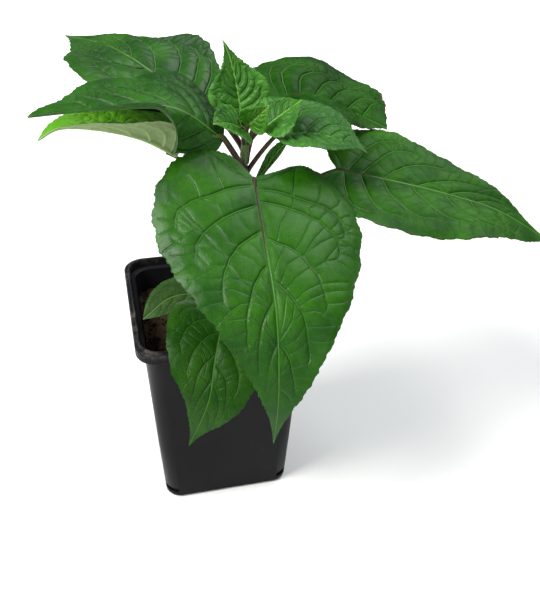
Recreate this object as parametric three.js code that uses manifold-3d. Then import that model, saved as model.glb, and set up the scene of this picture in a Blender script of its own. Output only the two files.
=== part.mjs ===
import * as THREE from 'three';
import Module from 'manifold-3d';

const wasm = await Module();
wasm.setup();
const { Manifold, Mesh } = wasm;

// A young chilli pepper plant in a square nursery pot. Millimetres, Z up, -Y front.
// The origin is the middle of the pot's underside.

// Clearance left between neighbouring pieces
const GAP = 0.3;

// Square nursery pot
const POT_TOP_WIDTH = 90;
const POT_HEIGHT = 115;
const POT_FOOT_WIDTH = 71;
const POT_NECK_WIDTH = 81.5;
const POT_WALL = 1.2;
const POT_FLOOR = 1.6;
const BAND_HEIGHT = 6.5;
const LEDGE_DROP = 5.5;
const BEAD_HEIGHT = 0.8;
const TOP_CORNER = 10.5;
const FOOT_CORNER = 8;
const CORNER_STEPS = 5;
const NECK_Z = POT_HEIGHT - BAND_HEIGHT;
const DRAIN_RADIUS = 4;
const DRAIN_OFFSET = 21;
const CORNER_SLOT = { width: 7, height: 3.2, z: 5.4 };

// Potting soil
const SOIL_TOP = 96;
const SOIL_STEPS = 13;
const SOIL_ROUGHNESS = 1.1;

// Main stem, running up out of a plain hole in the soil
const STEM_LINE = [[4, 4, 70], [6, 4, 100], [11, 2, 145], [15.5, 0, 182], [17, 0, 208]];
const STEM_BASE_RADIUS = 2.9;
const STEM_TOP_RADIUS = 1.7;
const STEM_SIDES = 12;
const STEM_RINGS = 22;
const STEM_KNOTS = [0.3, 0.58, 0.66, 0.78, 0.86];

// Leaves
const BLADE = 0.8;
const STALK_SIDES = 6;
const VEIN_SPACING = 13; // from here on the quilting has its full height
const FINEST = 0.04; // smallest step kept where a stalk joins its blade

// Outlines of one half of a blade: share of length along, share of half width across.
// The fan is the share of the outline fed by veins that start at the blade's base.
const OUTLINES = {
  heart: {
    fan: 0.36,
    points: [[0, 0], [-0.07, 0.2], [-0.1, 0.45], [-0.07, 0.72], [0.03, 0.93], [0.17, 1],
      [0.32, 0.95], [0.48, 0.78], [0.62, 0.54], [0.76, 0.3], [0.89, 0.1], [1, 0]],
  },
  shoulder: {
    fan: 0.36,
    points: [[0, 0], [-0.08, 0.22], [-0.12, 0.52], [-0.09, 0.82], [0.01, 1], [0.15, 1.04],
      [0.31, 0.96], [0.48, 0.78], [0.62, 0.54], [0.76, 0.3], [0.89, 0.1], [1, 0]],
  },
  square: {
    fan: 0.36,
    points: [[0, 0], [-0.012, 0.1], [-0.028, 0.25], [-0.044, 0.4], [-0.054, 0.55], [-0.042, 0.7],
      [0.02, 0.87], [0.1, 0.97], [0.21, 1.01], [0.35, 0.95], [0.49, 0.79], [0.62, 0.56],
      [0.76, 0.32], [0.89, 0.1], [1, 0]],
  },
  broad: {
    fan: 0.32,
    points: [[0, 0], [-0.06, 0.3], [-0.04, 0.62], [0.06, 0.88], [0.2, 1], [0.38, 0.97],
      [0.55, 0.85], [0.7, 0.66], [0.83, 0.42], [0.93, 0.2], [1, 0]],
  },
  oval: {
    fan: 0.2,
    points: [[0, 0], [-0.02, 0.3], [0.06, 0.66], [0.22, 0.94], [0.38, 1], [0.56, 0.84],
      [0.74, 0.52], [0.89, 0.2], [1, 0]],
  },
  spade: {
    fan: 0.22,
    points: [[0, 0], [-0.02, 0.22], [0.04, 0.55], [0.14, 0.85], [0.27, 1], [0.42, 0.93],
      [0.56, 0.64], [0.7, 0.34], [0.84, 0.13], [1, 0]],
  },
  lance: {
    fan: 0.1,
    points: [[0, 0], [0.04, 0.25], [0.17, 0.66], [0.36, 0.95], [0.52, 1], [0.7, 0.75],
      [0.87, 0.3], [1, 0]],
  },
};

// How finely a blade is divided, by size. The columns are shares from midrib to edge.
const GRADES = {
  large: { veins: 7, steps: 3, columns: [0, 0.07, 0.36, 0.7, 1], quilt: 1.5, stalk: 1.4 },
  medium: { veins: 6, steps: 3, columns: [0, 0.08, 0.4, 0.72, 1], quilt: 1, stalk: 1.1 },
  small: { veins: 5, steps: 2, columns: [0, 0.12, 0.55, 1], quilt: 0.5, stalk: 0.8 },
};

// Every leaf. The stalk line runs from its foot in the stem to the base of the blade,
// and the line on from there to the tip. The face is where the upper side looks.
// Pairs hold the left and the right half, seen from above with the tip away.
// A fold is the rise of a half in degrees at its midrib and at its edge.
// A wave is height, number of waves and phase along the edge.
// A turn is the stretch of the midrib in which the folds go from base to tip.
const LEAVES = {
  leaf_front: {
    grade: 'large',
    stalkLine: [[12, -1, 152], [14, -16, 180], [15, -29, 196]],
    line: [[15, -29, 196], [14, -56, 180], [13, -84, 160], [11, -100, 131], [9, -102, 104]],
    face: [0.1, -0.6, 1],
    tipFace: [0, -1, 0.35],
    width: 94,
    outline: ['square', 'heart'],
    share: [1.04, 1],
    lobe: [1, 1.2],
    taper: [0.3, 0.5],
    fold: [[5, -30], [8, -22]],
    tipFold: [[8, -22], [8, -22]],
    wave: [[1.5, 3.1, 0.62], [1.6, 3.3, 0.1]],
  },
  leaf_low_front: {
    grade: 'medium',
    stalkLine: [[9, 1, 112], [7, -14, 122], [3, -29, 124]],
    line: [[3, -29, 124], [-4, -46, 127], [-10, -61, 119], [-15, -71, 104], [-25, -71, 78]],
    face: [0, -0.5, 1],
    tipFace: [-0.2, -1, 0.2],
    width: 52,
    outline: ['heart', 'heart'],
    share: [1.08, 1],
    lobe: [1, 1],
    taper: [-0.3, 0],
    fold: [[10, -15], [10, -15]],
    tipFold: [[10, -15], [10, -15]],
    wave: [[0.9, 2.6, 0.3], [0.9, 2.4, 0.8]],
  },
  leaf_low_inner: {
    grade: 'small',
    stalkLine: [[6, 3, 102], [-2, 0, 114]],
    line: [[-2, 0, 114], [-11, -3, 119], [-25, -8, 121], [-39, -15, 115]],
    face: [0, -0.4, 1],
    tipFace: [0, -0.4, 1],
    width: 26,
    outline: ['broad', 'broad'],
    share: [1, 1],
    lobe: [0.4, 0.4],
    taper: [0, 0],
    fold: [[10, -20], [10, -20]],
    tipFold: [[10, -20], [10, -20]],
    wave: [[0.3, 2, 0], [0.3, 2, 0.5]],
  },
  leaf_back_left: {
    grade: 'large',
    stalkLine: [[17, 3, 195], [10, 9, 205], [2, 18, 213]],
    line: [[2, 18, 213], [-16, 30, 221], [-31, 43, 229], [-43, 60, 231], [-61, 78, 231]],
    face: [0, -0.1, 1],
    tipFace: [0, -0.1, 1],
    width: 76,
    outline: ['oval', 'spade'],
    share: [1, 1.05],
    lobe: [1, 1],
    taper: [0, 0],
    fold: [[10, 0], [14, 6]],
    tipFold: [[10, 0], [0, -10]],
    wave: [[1, 3.2, 0.35], [1.5, 2.8, 0.9]],
  },
  leaf_left: {
    grade: 'large',
    stalkLine: [[16, -2, 187], [5, -10, 207]],
    line: [[5, -10, 207], [-17, -15, 225], [-46, -20, 229], [-77, -24, 229]],
    face: [0, 0.1, 1],
    tipFace: [0, 0.1, 1],
    width: 64,
    outline: ['oval', 'broad'],
    share: [0.62, 1.08],
    lobe: [0.3, 0.3],
    taper: [0, 0.15],
    fold: [[-96, -106], [30, 15]],
    tipFold: [[13, 9], [12, 5]],
    turn: [0.16, 0.48],
    wave: [[0.7, 3, 0.4], [1.4, 3.1, 0.15]],
  },
  leaf_left_lower: {
    grade: 'large',
    stalkLine: [[12, 1, 150], [4, 4, 170], [-6, 8, 184], [-15, 8, 193]],
    line: [[-15, 8, 193], [-31, 5, 204], [-50, 0, 212], [-66, -5, 215.5], [-76, -8, 212]],
    face: [0, 0, 1],
    tipFace: [0, 0, 1],
    width: 54,
    outline: ['oval', 'broad'],
    share: [0.76, 1],
    lobe: [1, 0.6],
    taper: [0.8, 0.55],
    fold: [[60, 50], [40, 8]],
    tipFold: [[15, 10], [10, 0]],
    wave: [[0.8, 2.8, 0.2], [0.8, 2.6, 0.6]],
  },
  leaf_top: {
    grade: 'medium',
    stalkLine: [[17, 2, 202], [16, 5, 210]],
    line: [[16, 5, 210], [15, 11, 223], [13, 16, 234], [10, 18, 243]],
    face: [0, -1, 0.4],
    tipFace: [0, -1, 0.4],
    width: 30,
    outline: ['spade', 'spade'],
    share: [1, 1],
    lobe: [1, 1],
    taper: [0, 0],
    fold: [[20, 5], [20, 5]],
    tipFold: [[20, 5], [20, 5]],
    wave: [[0.7, 3, 0.1], [0.7, 3.2, 0.5]],
  },
  leaf_back_right: {
    grade: 'large',
    stalkLine: [[17, 2, 189], [26, 18, 202], [38, 31, 207]],
    line: [[38, 31, 207], [52, 34, 209], [67, 34, 205], [82, 31, 198], [97, 22, 192]],
    face: [0, 0, 1],
    tipFace: [0, 0, 1],
    width: 66,
    outline: ['broad', 'broad'],
    share: [1, 1],
    lobe: [0.6, 1],
    taper: [-0.6, 0],
    fold: [[24, 5], [8, -12]],
    tipFold: [[24, 5], [8, -12]],
    wave: [[1.4, 3.4, 0.5], [1, 3, 0.2]],
  },
  leaf_right: {
    grade: 'medium',
    stalkLine: [[17, 0, 184], [24, -3, 196], [31, -5, 205]],
    line: [[31, -5, 205], [47, -9, 206], [62, -14, 203], [72, -17, 198]],
    face: [0, 0, 1],
    tipFace: [0, 0, 1],
    width: 42,
    outline: ['oval', 'oval'],
    share: [1.1, 1.2],
    lobe: [1, 1],
    taper: [0, 0],
    fold: [[32, 14], [14, 4]],
    tipFold: [[16, 8], [10, 4]],
    wave: [[0.8, 2.6, 0.4], [0.6, 2.8, 0.9]],
  },
  leaf_right_large: {
    grade: 'large',
    stalkLine: [[12, 0, 142], [37, 0, 168], [62, -4, 184.5]],
    line: [[62, -4, 184.5], [84, -16, 182.5], [110, -28, 178.5], [134, -39, 172.5], [157, -50, 160]],
    face: [0, -0.25, 1],
    tipFace: [0, -0.25, 1],
    width: 74,
    outline: ['shoulder', 'broad'],
    share: [0.88, 0.86],
    lobe: [0.7, 1.0],
    taper: [0.22, -0.35],
    fold: [[10, -5], [0, -8]],
    tipFold: [[12, -5], [12, -5]],
    wave: [[1.5, 3.2, 0.7], [1.3, 2.9, 0.15]],
  },
  leaf_right_inner: {
    grade: 'small',
    stalkLine: [[17, 1, 172], [22, 2, 177]],
    line: [[22, 2, 177], [27, 3, 183], [33, 5, 190], [40, 7, 197], [44, 8, 200]],
    face: [0, 0, 1],
    tipFace: [0, 0, 1],
    width: 13,
    outline: ['lance', 'lance'],
    share: [0.75, 0.45],
    lobe: [1, 1],
    taper: [0, 0],
    fold: [[15, 0], [15, 0]],
    tipFold: [[10, 5], [10, 5]],
    wave: [[0.4, 2, 0], [0.4, 2, 0.5]],
  },
  leaf_crown_left: {
    grade: 'small',
    stalkLine: [[16, -1, 200], [14, -4, 209]],
    line: [[14, -4, 209], [7, -8, 213.5], [0, -12, 215.5]],
    face: [0, -0.5, 1],
    tipFace: [0, -0.5, 1],
    width: 27,
    outline: ['broad', 'broad'],
    share: [1, 0.85],
    lobe: [0.5, 0.3],
    taper: [0, 0],
    fold: [[20, 0], [20, 0]],
    tipFold: [[20, 0], [20, 0]],
    wave: [[0.5, 2.4, 0], [0.5, 2.4, 0.5]],
  },
  leaf_crown_bright: {
    grade: 'small',
    stalkLine: [[17, -1, 204], [17, -6, 211]],
    line: [[17, -6, 211], [20, -10, 216], [25, -12, 222]],
    face: [0.2, -0.8, 0.6],
    tipFace: [0.2, -0.8, 0.6],
    width: 15,
    outline: ['oval', 'oval'],
    share: [1, 1],
    lobe: [1, 1],
    taper: [0, 0],
    fold: [[20, 0], [20, 0]],
    tipFold: [[30, 0], [30, 0]],
    wave: [[0.4, 2.4, 0], [0.4, 2.4, 0.5]],
  },
  leaf_crown_right: {
    grade: 'small',
    stalkLine: [[18, -1, 200], [24, -6, 210]],
    line: [[24, -7, 209.6], [32, -7, 215.2], [42, -5, 220.8]],
    face: [-0.4, -0.4, 0.9],
    tipFace: [-0.4, -0.4, 0.9],
    width: 26,
    outline: ['oval', 'oval'],
    share: [1, 1],
    lobe: [0.6, 0.6],
    taper: [0, 0],
    fold: [[12, 0], [12, 0]],
    tipFold: [[20, 0], [20, 0]],
    wave: [[0.4, 2.4, 0.2], [0.4, 2.4, 0.7]],
  },
};

// Small helpers
const vector = (p) => new THREE.Vector3(p[0], p[1], p[2] ?? 0);
const radians = (angle) => THREE.MathUtils.degToRad(angle);
const mix = THREE.MathUtils.lerp;

function smoothLine(points) {
  return new THREE.CatmullRomCurve3(points.map(vector), false, 'catmullrom', 0.5);
}

// A closed body from points and triangles
function solid(points, triangles) {
  const mesh = new Mesh({
    numProp: 3,
    vertProperties: new Float32Array(points.flatMap((p) => [p.x, p.y, p.z])),
    triVerts: new Uint32Array(triangles.flat()),
  });
  return new Manifold(mesh);
}

// A closed body from loops with the same number of points, capped at both ends
function solidFromRings(rings) {
  const count = rings[0].length;
  const points = rings.flat();
  const triangles = [];
  for (let row = 0; row < rings.length - 1; row += 1) {
    for (let k = 0; k < count; k += 1) {
      const a = row * count + k;
      const b = row * count + ((k + 1) % count);
      triangles.push([a, b, b + count], [a, b + count, a + count]);
    }
  }
  [0, rings.length - 1].forEach((row) => {
    const middle = new THREE.Vector3();
    rings[row].forEach((p) => middle.addScaledVector(p, 1 / count));
    const hub = points.push(middle) - 1;
    for (let k = 0; k < count; k += 1) {
      const a = row * count + k;
      const b = row * count + ((k + 1) % count);
      triangles.push(row === 0 ? [hub, b, a] : [hub, a, b]);
    }
  });
  return solid(points, triangles);
}

function roundedSquare(width, corner, z) {
  const ring = [];
  const centre = width / 2 - corner;
  for (let quarter = 0; quarter < 4; quarter += 1) {
    const turn = (quarter * Math.PI) / 2;
    for (let k = 0; k <= CORNER_STEPS; k += 1) {
      const angle = turn + (k / CORNER_STEPS) * (Math.PI / 2);
      const cx = centre * Math.SQRT2 * Math.cos(turn + Math.PI / 4);
      const cy = centre * Math.SQRT2 * Math.sin(turn + Math.PI / 4);
      ring.push(vector([cx + corner * Math.cos(angle), cy + corner * Math.sin(angle), z]));
    }
  }
  return ring;
}

// A round tube along a line, its radius given by the share travelled
function tube(line, radiusAt, sides, rings, span = {}) {
  const { start = 0, end = 1, overrun = 0, shift = () => null } = span;
  const loops = [];
  let up = null;
  for (let i = 0; i <= rings; i += 1) {
    const share = i / rings;
    const at = mix(start, end, share);
    const middle = line.getPoint(at);
    const along = line.getTangent(at);
    if (up === null) {
      up = Math.abs(along.z) > 0.7 ? new THREE.Vector3(1, 0, 0) : new THREE.Vector3(0, 0, 1);
    }
    up.addScaledVector(along, -up.dot(along)).normalize();
    const side = new THREE.Vector3().crossVectors(along, up);
    const moved = shift(share);
    if (moved) {
      middle.add(moved);
    }
    if (i === 0) {
      middle.addScaledVector(along, -overrun);
    } else if (i === rings) {
      middle.addScaledVector(along, overrun);
    }
    const loop = [];
    for (let k = 0; k < sides; k += 1) {
      const angle = (k / sides) * 2 * Math.PI;
      loop.push(middle.clone()
        .addScaledVector(up, radiusAt(share) * Math.cos(angle))
        .addScaledVector(side, -radiusAt(share) * Math.sin(angle)));
    }
    loops.push(loop.reverse());
  }
  return solidFromRings(loops);
}

// Pot: outer wall, rolled rim with a bead, ledge inside and a floor with drain holes
function potWidth(z) {
  return mix(POT_FOOT_WIDTH, POT_NECK_WIDTH, z / NECK_Z);
}

function potCorner(z) {
  return mix(FOOT_CORNER, TOP_CORNER - 1, z / NECK_Z);
}

function makePot() {
  const inner = (z) => potWidth(z) - 2 * POT_WALL;
  const rimTop = POT_HEIGHT - BEAD_HEIGHT;
  const ledge = POT_HEIGHT - LEDGE_DROP;
  const shell = solidFromRings([
    roundedSquare(POT_FOOT_WIDTH - 2, FOOT_CORNER - 1, 0),
    roundedSquare(POT_FOOT_WIDTH - 0.4, FOOT_CORNER, 0.9),
    roundedSquare(potWidth(40), potCorner(40), 40),
    roundedSquare(potWidth(NECK_Z), potCorner(NECK_Z), NECK_Z),
    roundedSquare(POT_TOP_WIDTH - 0.8, TOP_CORNER - 0.4, NECK_Z),
    roundedSquare(POT_TOP_WIDTH, TOP_CORNER, NECK_Z + 0.5),
    roundedSquare(POT_TOP_WIDTH, TOP_CORNER, rimTop - 0.7),
    roundedSquare(POT_TOP_WIDTH - 1.2, TOP_CORNER - 0.6, rimTop),
    roundedSquare(POT_TOP_WIDTH - 3.4, TOP_CORNER - 1.7, rimTop),
    roundedSquare(POT_TOP_WIDTH - 4.2, TOP_CORNER - 2.1, POT_HEIGHT),
    roundedSquare(POT_TOP_WIDTH - 5.4, TOP_CORNER - 2.7, POT_HEIGHT),
    roundedSquare(POT_TOP_WIDTH - 6.2, TOP_CORNER - 3.1, rimTop - 0.4),
    roundedSquare(POT_TOP_WIDTH - 6.6, TOP_CORNER - 3.2, ledge + 0.6),
    roundedSquare(inner(ledge), potCorner(ledge) - POT_WALL, ledge),
    roundedSquare(inner(POT_FLOOR), FOOT_CORNER - POT_WALL, POT_FLOOR),
  ]);
  let pot = shell;
  [[1, 1], [1, -1], [-1, 1], [-1, -1]].forEach(([sx, sy]) => {
    const drain = Manifold.cylinder(POT_FLOOR + 4, DRAIN_RADIUS, DRAIN_RADIUS, 20)
      .translate([sx * DRAIN_OFFSET, sy * DRAIN_OFFSET, -2]);
    const reach = potWidth(CORNER_SLOT.z) / 2 - 2.4;
    const slot = Manifold.cube([CORNER_SLOT.width, 9, CORNER_SLOT.height], true)
      .rotate([0, 0, sx * sy > 0 ? -45 : 45])
      .translate([sx * reach, sy * reach, CORNER_SLOT.z]);
    pot = pot.subtract(drain).subtract(slot);
  });
  return pot;
}

// Soil: a block that follows the pot's inside, with an uneven crumbly top
function soilHeight(x, y) {
  const lump = Math.sin(x * 0.21 + 1.3) * Math.cos(y * 0.17 - 0.4);
  const crumb = Math.sin(x * 0.83 + y * 0.47) * Math.cos(y * 0.91 - x * 0.39);
  return SOIL_TOP + SOIL_ROUGHNESS * (0.6 * lump + 0.7 * crumb);
}

function makeSoil(stemHole) {
  const width = (z) => potWidth(z) - 2 * POT_WALL - 2 * GAP;
  const corner = (z) => potCorner(z) - POT_WALL - GAP;
  const low = POT_FLOOR + GAP;
  const block = solidFromRings([
    roundedSquare(width(low), corner(low), low),
    roundedSquare(width(SOIL_TOP + 3), corner(SOIL_TOP + 3), SOIL_TOP + 3),
  ]);
  const half = POT_NECK_WIDTH / 2 + 1;
  const points = [];
  const triangles = [];
  const side = SOIL_STEPS + 1;
  for (let i = 0; i < side; i += 1) {
    for (let j = 0; j < side; j += 1) {
      const x = mix(-half, half, i / SOIL_STEPS);
      const y = mix(-half, half, j / SOIL_STEPS);
      points.push(vector([x, y, soilHeight(x, y)]));
    }
  }
  for (let i = 0; i < SOIL_STEPS; i += 1) {
    for (let j = 0; j < SOIL_STEPS; j += 1) {
      const a = i * side + j;
      triangles.push([a, a + 1, a + side], [a + 1, a + side + 1, a + side]);
    }
  }
  const air = raise(points, triangles, SOIL_TOP + 10);
  return block.subtract(air).subtract(stemHole);
}

// A body between a sheet, wound to face down, and a flat lid above it
function raise(points, triangles, lidZ) {
  const count = points.length;
  const lid = points.map((p) => vector([p.x, p.y, lidZ]));
  const all = triangles.concat(triangles.map(([a, b, c]) => [a + count, c + count, b + count]));
  borderOf(triangles).forEach(([a, b]) => {
    all.push([b, a, a + count], [b, a + count, b + count]);
  });
  return solid(points.concat(lid), all);
}

// Edges that only one triangle uses, in that triangle's direction
function borderOf(triangles) {
  const used = new Set();
  triangles.forEach(([a, b, c]) => {
    used.add(`${a},${b}`).add(`${b},${c}`).add(`${c},${a}`);
  });
  return [...used].map((key) => key.split(',').map(Number))
    .filter(([a, b]) => !used.has(`${b},${a}`));
}

// Stem
const stemLine = smoothLine(STEM_LINE);

function stemRadius(share) {
  const knots = STEM_KNOTS.reduce((sum, at) => sum + Math.exp(-(((share - at) / 0.012) ** 2)), 0);
  const tipRound = Math.sqrt(Math.max(0.12, Math.min(1, (1 - share) / 0.03)));
  return (mix(STEM_BASE_RADIUS, STEM_TOP_RADIUS, share) + 0.35 * knots) * tipRound;
}

function makeStem(extra) {
  const radius = (share) => stemRadius(share) + extra;
  return tube(stemLine, radius, STEM_SIDES, STEM_RINGS, { overrun: extra });
}

// A leaf's midrib, with the share of its length that a distance along it stands for
function midribOf(leaf) {
  const line = smoothLine(leaf.line);
  line.arcLengthDivisions = 120;
  const length = line.getLength();
  return { line, length };
}

// Where a point of the flattened blade lies in space, and its upward direction
function placeOnBlade(leaf, midrib, x, y, side) {
  const k = side < 0 ? 0 : 1;
  const inside = THREE.MathUtils.clamp(x, 0, midrib.length);
  const share = inside / midrib.length;
  const along = midrib.line.getTangentAt(share);
  const face = vector(leaf.face).lerp(vector(leaf.tipFace), share);
  const out = new THREE.Vector3().crossVectors(along, face).normalize();
  const up = new THREE.Vector3().crossVectors(out, along);
  const half = (leaf.width / 2) * leaf.share[k];
  const turned = leaf.turn ? THREE.MathUtils.smoothstep(share, ...leaf.turn) : share;
  const rise = radians(mix(leaf.fold[k][0], leaf.tipFold[k][0], turned));
  const edge = radians(mix(leaf.fold[k][1], leaf.tipFold[k][1], turned));
  const bend = (edge - rise) / half || 1e-6;
  const angle = rise + bend * y;
  const reach = (Math.sin(angle) - Math.sin(rise)) / bend;
  const lift = (Math.cos(rise) - Math.cos(angle)) / bend;
  const point = midrib.line.getPointAt(share)
    .addScaledVector(along, x - inside)
    .addScaledVector(out, side * reach)
    .addScaledVector(up, lift);
  const normal = up.multiplyScalar(Math.cos(angle)).addScaledVector(out, -side * Math.sin(angle));
  return { point, normal };
}

// Flattened position of a blade point from its share along the edge and across the half
function flatten(leaf, midrib, u, t, side) {
  const k = side < 0 ? 0 : 1;
  const outline = OUTLINES[leaf.outline[k]];
  const rim = smoothLine(outline.points).getPoint(u);
  const along = rim.x < 0 ? rim.x * leaf.lobe[k] : rim.x;
  const taper = 1 - leaf.taper[k] * Math.max(0, along - 0.2);
  const scallop = 1 + 0.014 * Math.cos(4 * Math.PI * leaf.veins * u) * Math.min(1, 6 * u);
  const edgeX = along * midrib.length;
  const edgeY = rim.y * taper * scallop * (leaf.width / 2) * leaf.share[k];
  const late = Math.max(0, (u - leaf.fan) / (1 - leaf.fan));
  const ribX = late ** 1.15 * midrib.length;
  const bendX = mix(ribX, edgeX, 0.3);
  const far = Math.hypot(edgeX - ribX, edgeY);
  return {
    x: (1 - t) ** 2 * ribX + 2 * t * (1 - t) * bendX + t * t * edgeX,
    y: 2 * t * (1 - t) * 0.7 * edgeY + t * t * edgeY,
    room: Math.min(1, (ribX + t * far) / 14) * Math.min(1, edgeY / (0.2 * leaf.width)),
  };
}

// Height of the quilting and of the waved edge over the smooth blade. The quilting is
// lower where the veins stand close, the wave near the base and at the tip.
function relief(leaf, midrib, u, t, side) {
  const [height, waves, phase] = leaf.wave[side < 0 ? 0 : 1];
  const gap = 0.5 / leaf.veins;
  const before = flatten(leaf, midrib, Math.max(0, u - gap), t, side);
  const after = flatten(leaf, midrib, Math.min(1, u + gap), t, side);
  const spacing = Math.hypot(after.x - before.x, after.y - before.y);
  const between = Math.abs(Math.sin(Math.PI * leaf.veins * u)) ** 0.8;
  const across = Math.sin(Math.PI * Math.min(1, t * 1.05)) ** 0.7;
  const quilt = leaf.quilt * between * across * Math.min(1, spacing / VEIN_SPACING);
  const wave = height * Math.sin(2 * Math.PI * (waves * u + phase)) * t * t;
  return (quilt + wave) * flatten(leaf, midrib, u, t, side).room;
}

// Direction away from the upper side on the midrib itself
function ribNormal(leaf, midrib, share) {
  const x = share * midrib.length;
  const left = placeOnBlade(leaf, midrib, x, 0, -1).normal;
  return left.add(placeOnBlade(leaf, midrib, x, 0, 1).normal).normalize();
}

// The blade as a closed body: a waved and quilted sheet with its rib, thickened both ways
function makeBlade(leaf, midrib) {
  const rows = leaf.veins * leaf.steps;
  const last = leaf.columns.length - 1;
  const fan = Math.max(1, Math.floor(leaf.fan * rows));
  const sheet = [];
  const addRib = (share) => {
    const point = midrib.line.getPointAt(share);
    const depth = leaf.stalk * mix(0.9, 0.1, share);
    return sheet.push({ point, normal: ribNormal(leaf, midrib, share), depth }) - 1;
  };
  const add = (u, t, side) => {
    const flat = flatten(leaf, midrib, u, t, side);
    const { point, normal } = placeOnBlade(leaf, midrib, flat.x, flat.y, side);
    point.addScaledVector(normal, relief(leaf, midrib, u, t, side));
    return sheet.push({ point, normal, depth: 0 }) - 1;
  };
  const ribs = [];
  for (let i = 0; i <= rows; i += 1) {
    const share = flatten(leaf, midrib, i / rows, 0, 1).x / midrib.length;
    ribs.push(i > 0 && i <= fan ? ribs[0] : addRib(i === 0 ? 0 : share));
  }
  const triangles = [];
  [-1, 1].forEach((side) => {
    const grid = ribs.map((rib, i) => leaf.columns.map((t, j) => {
      const collapsed = j === 0 || i === 0 || i === rows;
      return collapsed ? rib : add(i / rows, t, side);
    }));
    for (let i = 1; i < rows; i += 1) {
      for (let j = 0; j < last; j += 1) {
        const a = grid[i][j];
        const b = grid[i + 1][j];
        const c = grid[i + 1][j + 1];
        const d = grid[i][j + 1];
        const pair = [[a, d, c], [a, c, b]];
        pair.filter(([p, q, r]) => p !== q && q !== r && p !== r).forEach(([p, q, r]) => {
          triangles.push(side > 0 ? [p, q, r] : [p, r, q]);
        });
      }
    }
  });
  return thicken(sheet, triangles);
}

// A closed body around a sheet, deeper on the under side where the rib runs
function thicken(sheet, triangles) {
  const count = sheet.length;
  const raised = (height) => sheet.map((at) => (
    at.point.clone().addScaledVector(at.normal, height(at))));
  const top = raised(() => BLADE / 2);
  const below = raised((at) => -BLADE / 2 - at.depth);
  const all = triangles.concat(triangles.map(([a, b, c]) => [a + count, c + count, b + count]));
  borderOf(triangles).forEach(([a, b]) => {
    all.push([b, a, a + count], [b, a + count, b + count]);
  });
  return solid(top.concat(below), all);
}

// The stalk starts inside the stem and ends in the rib, a little way under the blade
function makeStalk(leaf, midrib) {
  const end = midrib.line.getPointAt(0.07);
  const line = smoothLine([...leaf.stalkLine, [end.x, end.y, end.z]]);
  const sink = ribNormal(leaf, midrib, 0).multiplyScalar(-0.8 * leaf.stalk);
  const sunk = (share) => THREE.MathUtils.clamp(4 * share - 2.2, 0, 1);
  return tube(
    line,
    (share) => leaf.stalk * mix(1.2, 0.85, share),
    STALK_SIDES,
    2 + leaf.stalkLine.length * 2,
    { shift: (share) => sink.clone().multiplyScalar(sunk(share)) },
  );
}

function makeLeaf(values, stemRoom) {
  const leaf = { ...GRADES[values.grade], ...values };
  leaf.fan = (OUTLINES[leaf.outline[0]].fan + OUTLINES[leaf.outline[1]].fan) / 2;
  const midrib = midribOf(leaf);
  const whole = makeBlade(leaf, midrib).add(makeStalk(leaf, midrib)).subtract(stemRoom);
  return outerBody(whole.simplify(FINEST));
}

// The outer surface of a body, without pinholes left inside where two parts were joined
function outerBody(body) {
  return body.decompose().reduce((best, next) => (next.volume() > best.volume() ? next : best));
}

// Assembly
const group = new THREE.Group();

function place(name, body, colour) {
  const mesh = body.getMesh();
  const geometry = new THREE.BufferGeometry();
  geometry.setAttribute('position', new THREE.BufferAttribute(mesh.vertProperties, 3));
  geometry.setIndex(new THREE.BufferAttribute(mesh.triVerts, 1));
  geometry.computeVertexNormals();
  const piece = new THREE.Mesh(geometry, new THREE.MeshStandardMaterial({ color: colour }));
  piece.name = name;
  group.add(piece);
}

const stemRoom = makeStem(GAP);
place('pot', makePot(), '#26262a');
place('soil', makeSoil(stemRoom), '#3a2519');
place('stem', makeStem(0), '#5c6b3c');
Object.entries(LEAVES).forEach(([name, values]) => {
  place(name, makeLeaf(values, stemRoom), '#2f7a28');
});

export default group;
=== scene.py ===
"""A potted chilli pepper plant: square nursery pot, soil, stem and its leaves."""
import math

import bmesh
import bpy
import numpy as np
from mathutils import Matrix, Vector, noise


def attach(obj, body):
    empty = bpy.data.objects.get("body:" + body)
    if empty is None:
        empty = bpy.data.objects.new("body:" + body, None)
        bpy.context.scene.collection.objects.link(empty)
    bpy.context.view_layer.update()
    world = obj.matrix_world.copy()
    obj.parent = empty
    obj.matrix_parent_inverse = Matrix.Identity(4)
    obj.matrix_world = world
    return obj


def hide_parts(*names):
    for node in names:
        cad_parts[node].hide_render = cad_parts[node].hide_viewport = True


MM = 0.001
PHOTO_HEIGHT = 608
SENSOR_HEIGHT = 36

# Camera at the photograph's place: turn, rise and roll in degrees, focal length in pixels,
# place in millimetres
CAMERA_TURN = -13.9
CAMERA_RISE = 35.8
CAMERA_ROLL = 1.5
CAMERA_FOCUS = 750
CAMERA_PLACE = (-49.5, -325, 345.5)

# Pot, in millimetres, the same as in the solid
POT_TOP_WIDTH = 90
POT_HEIGHT = 115
POT_FOOT_WIDTH = 71
POT_NECK_WIDTH = 81.5
POT_WALL = 1.2
POT_FLOOR = 1.6
BAND_HEIGHT = 6.5
DRAIN_RADIUS = 4
DRAIN_OFFSET = 21
DRAIN_SIDES = 40

# Soil and stem. Knots and foot are shares of the way up the line of the stem
SOIL_TOP = 96
SOIL_GAP = 0.3
SOIL_SPOKES = 300
SOIL_RINGS = 88
CRUMB_COUNT = 620
STEM_LINE = [[4, 4, 70], [6, 4, 100], [11, 2, 145], [15.5, 0, 182], [17, 0, 208]]
STEM_BASE_RADIUS = 2.9
STEM_TOP_RADIUS = 1.7
STEM_KNOTS = [0.3, 0.58, 0.66, 0.78, 0.86]
STEM_FOOT = 0.24
STEM_STEPS = 230
STEM_SIDES = 36
STALK_STEPS = 44
STALK_SIDES = 14

# Bud at the tip of the stem: its leaves follow each other at this angle
BUD_LEAVES = 7
BUD_TURN = 137.5
BUD_ROWS = 46
BUD_COLUMNS = 14
BUD_THICKNESS = 0.28

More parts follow.
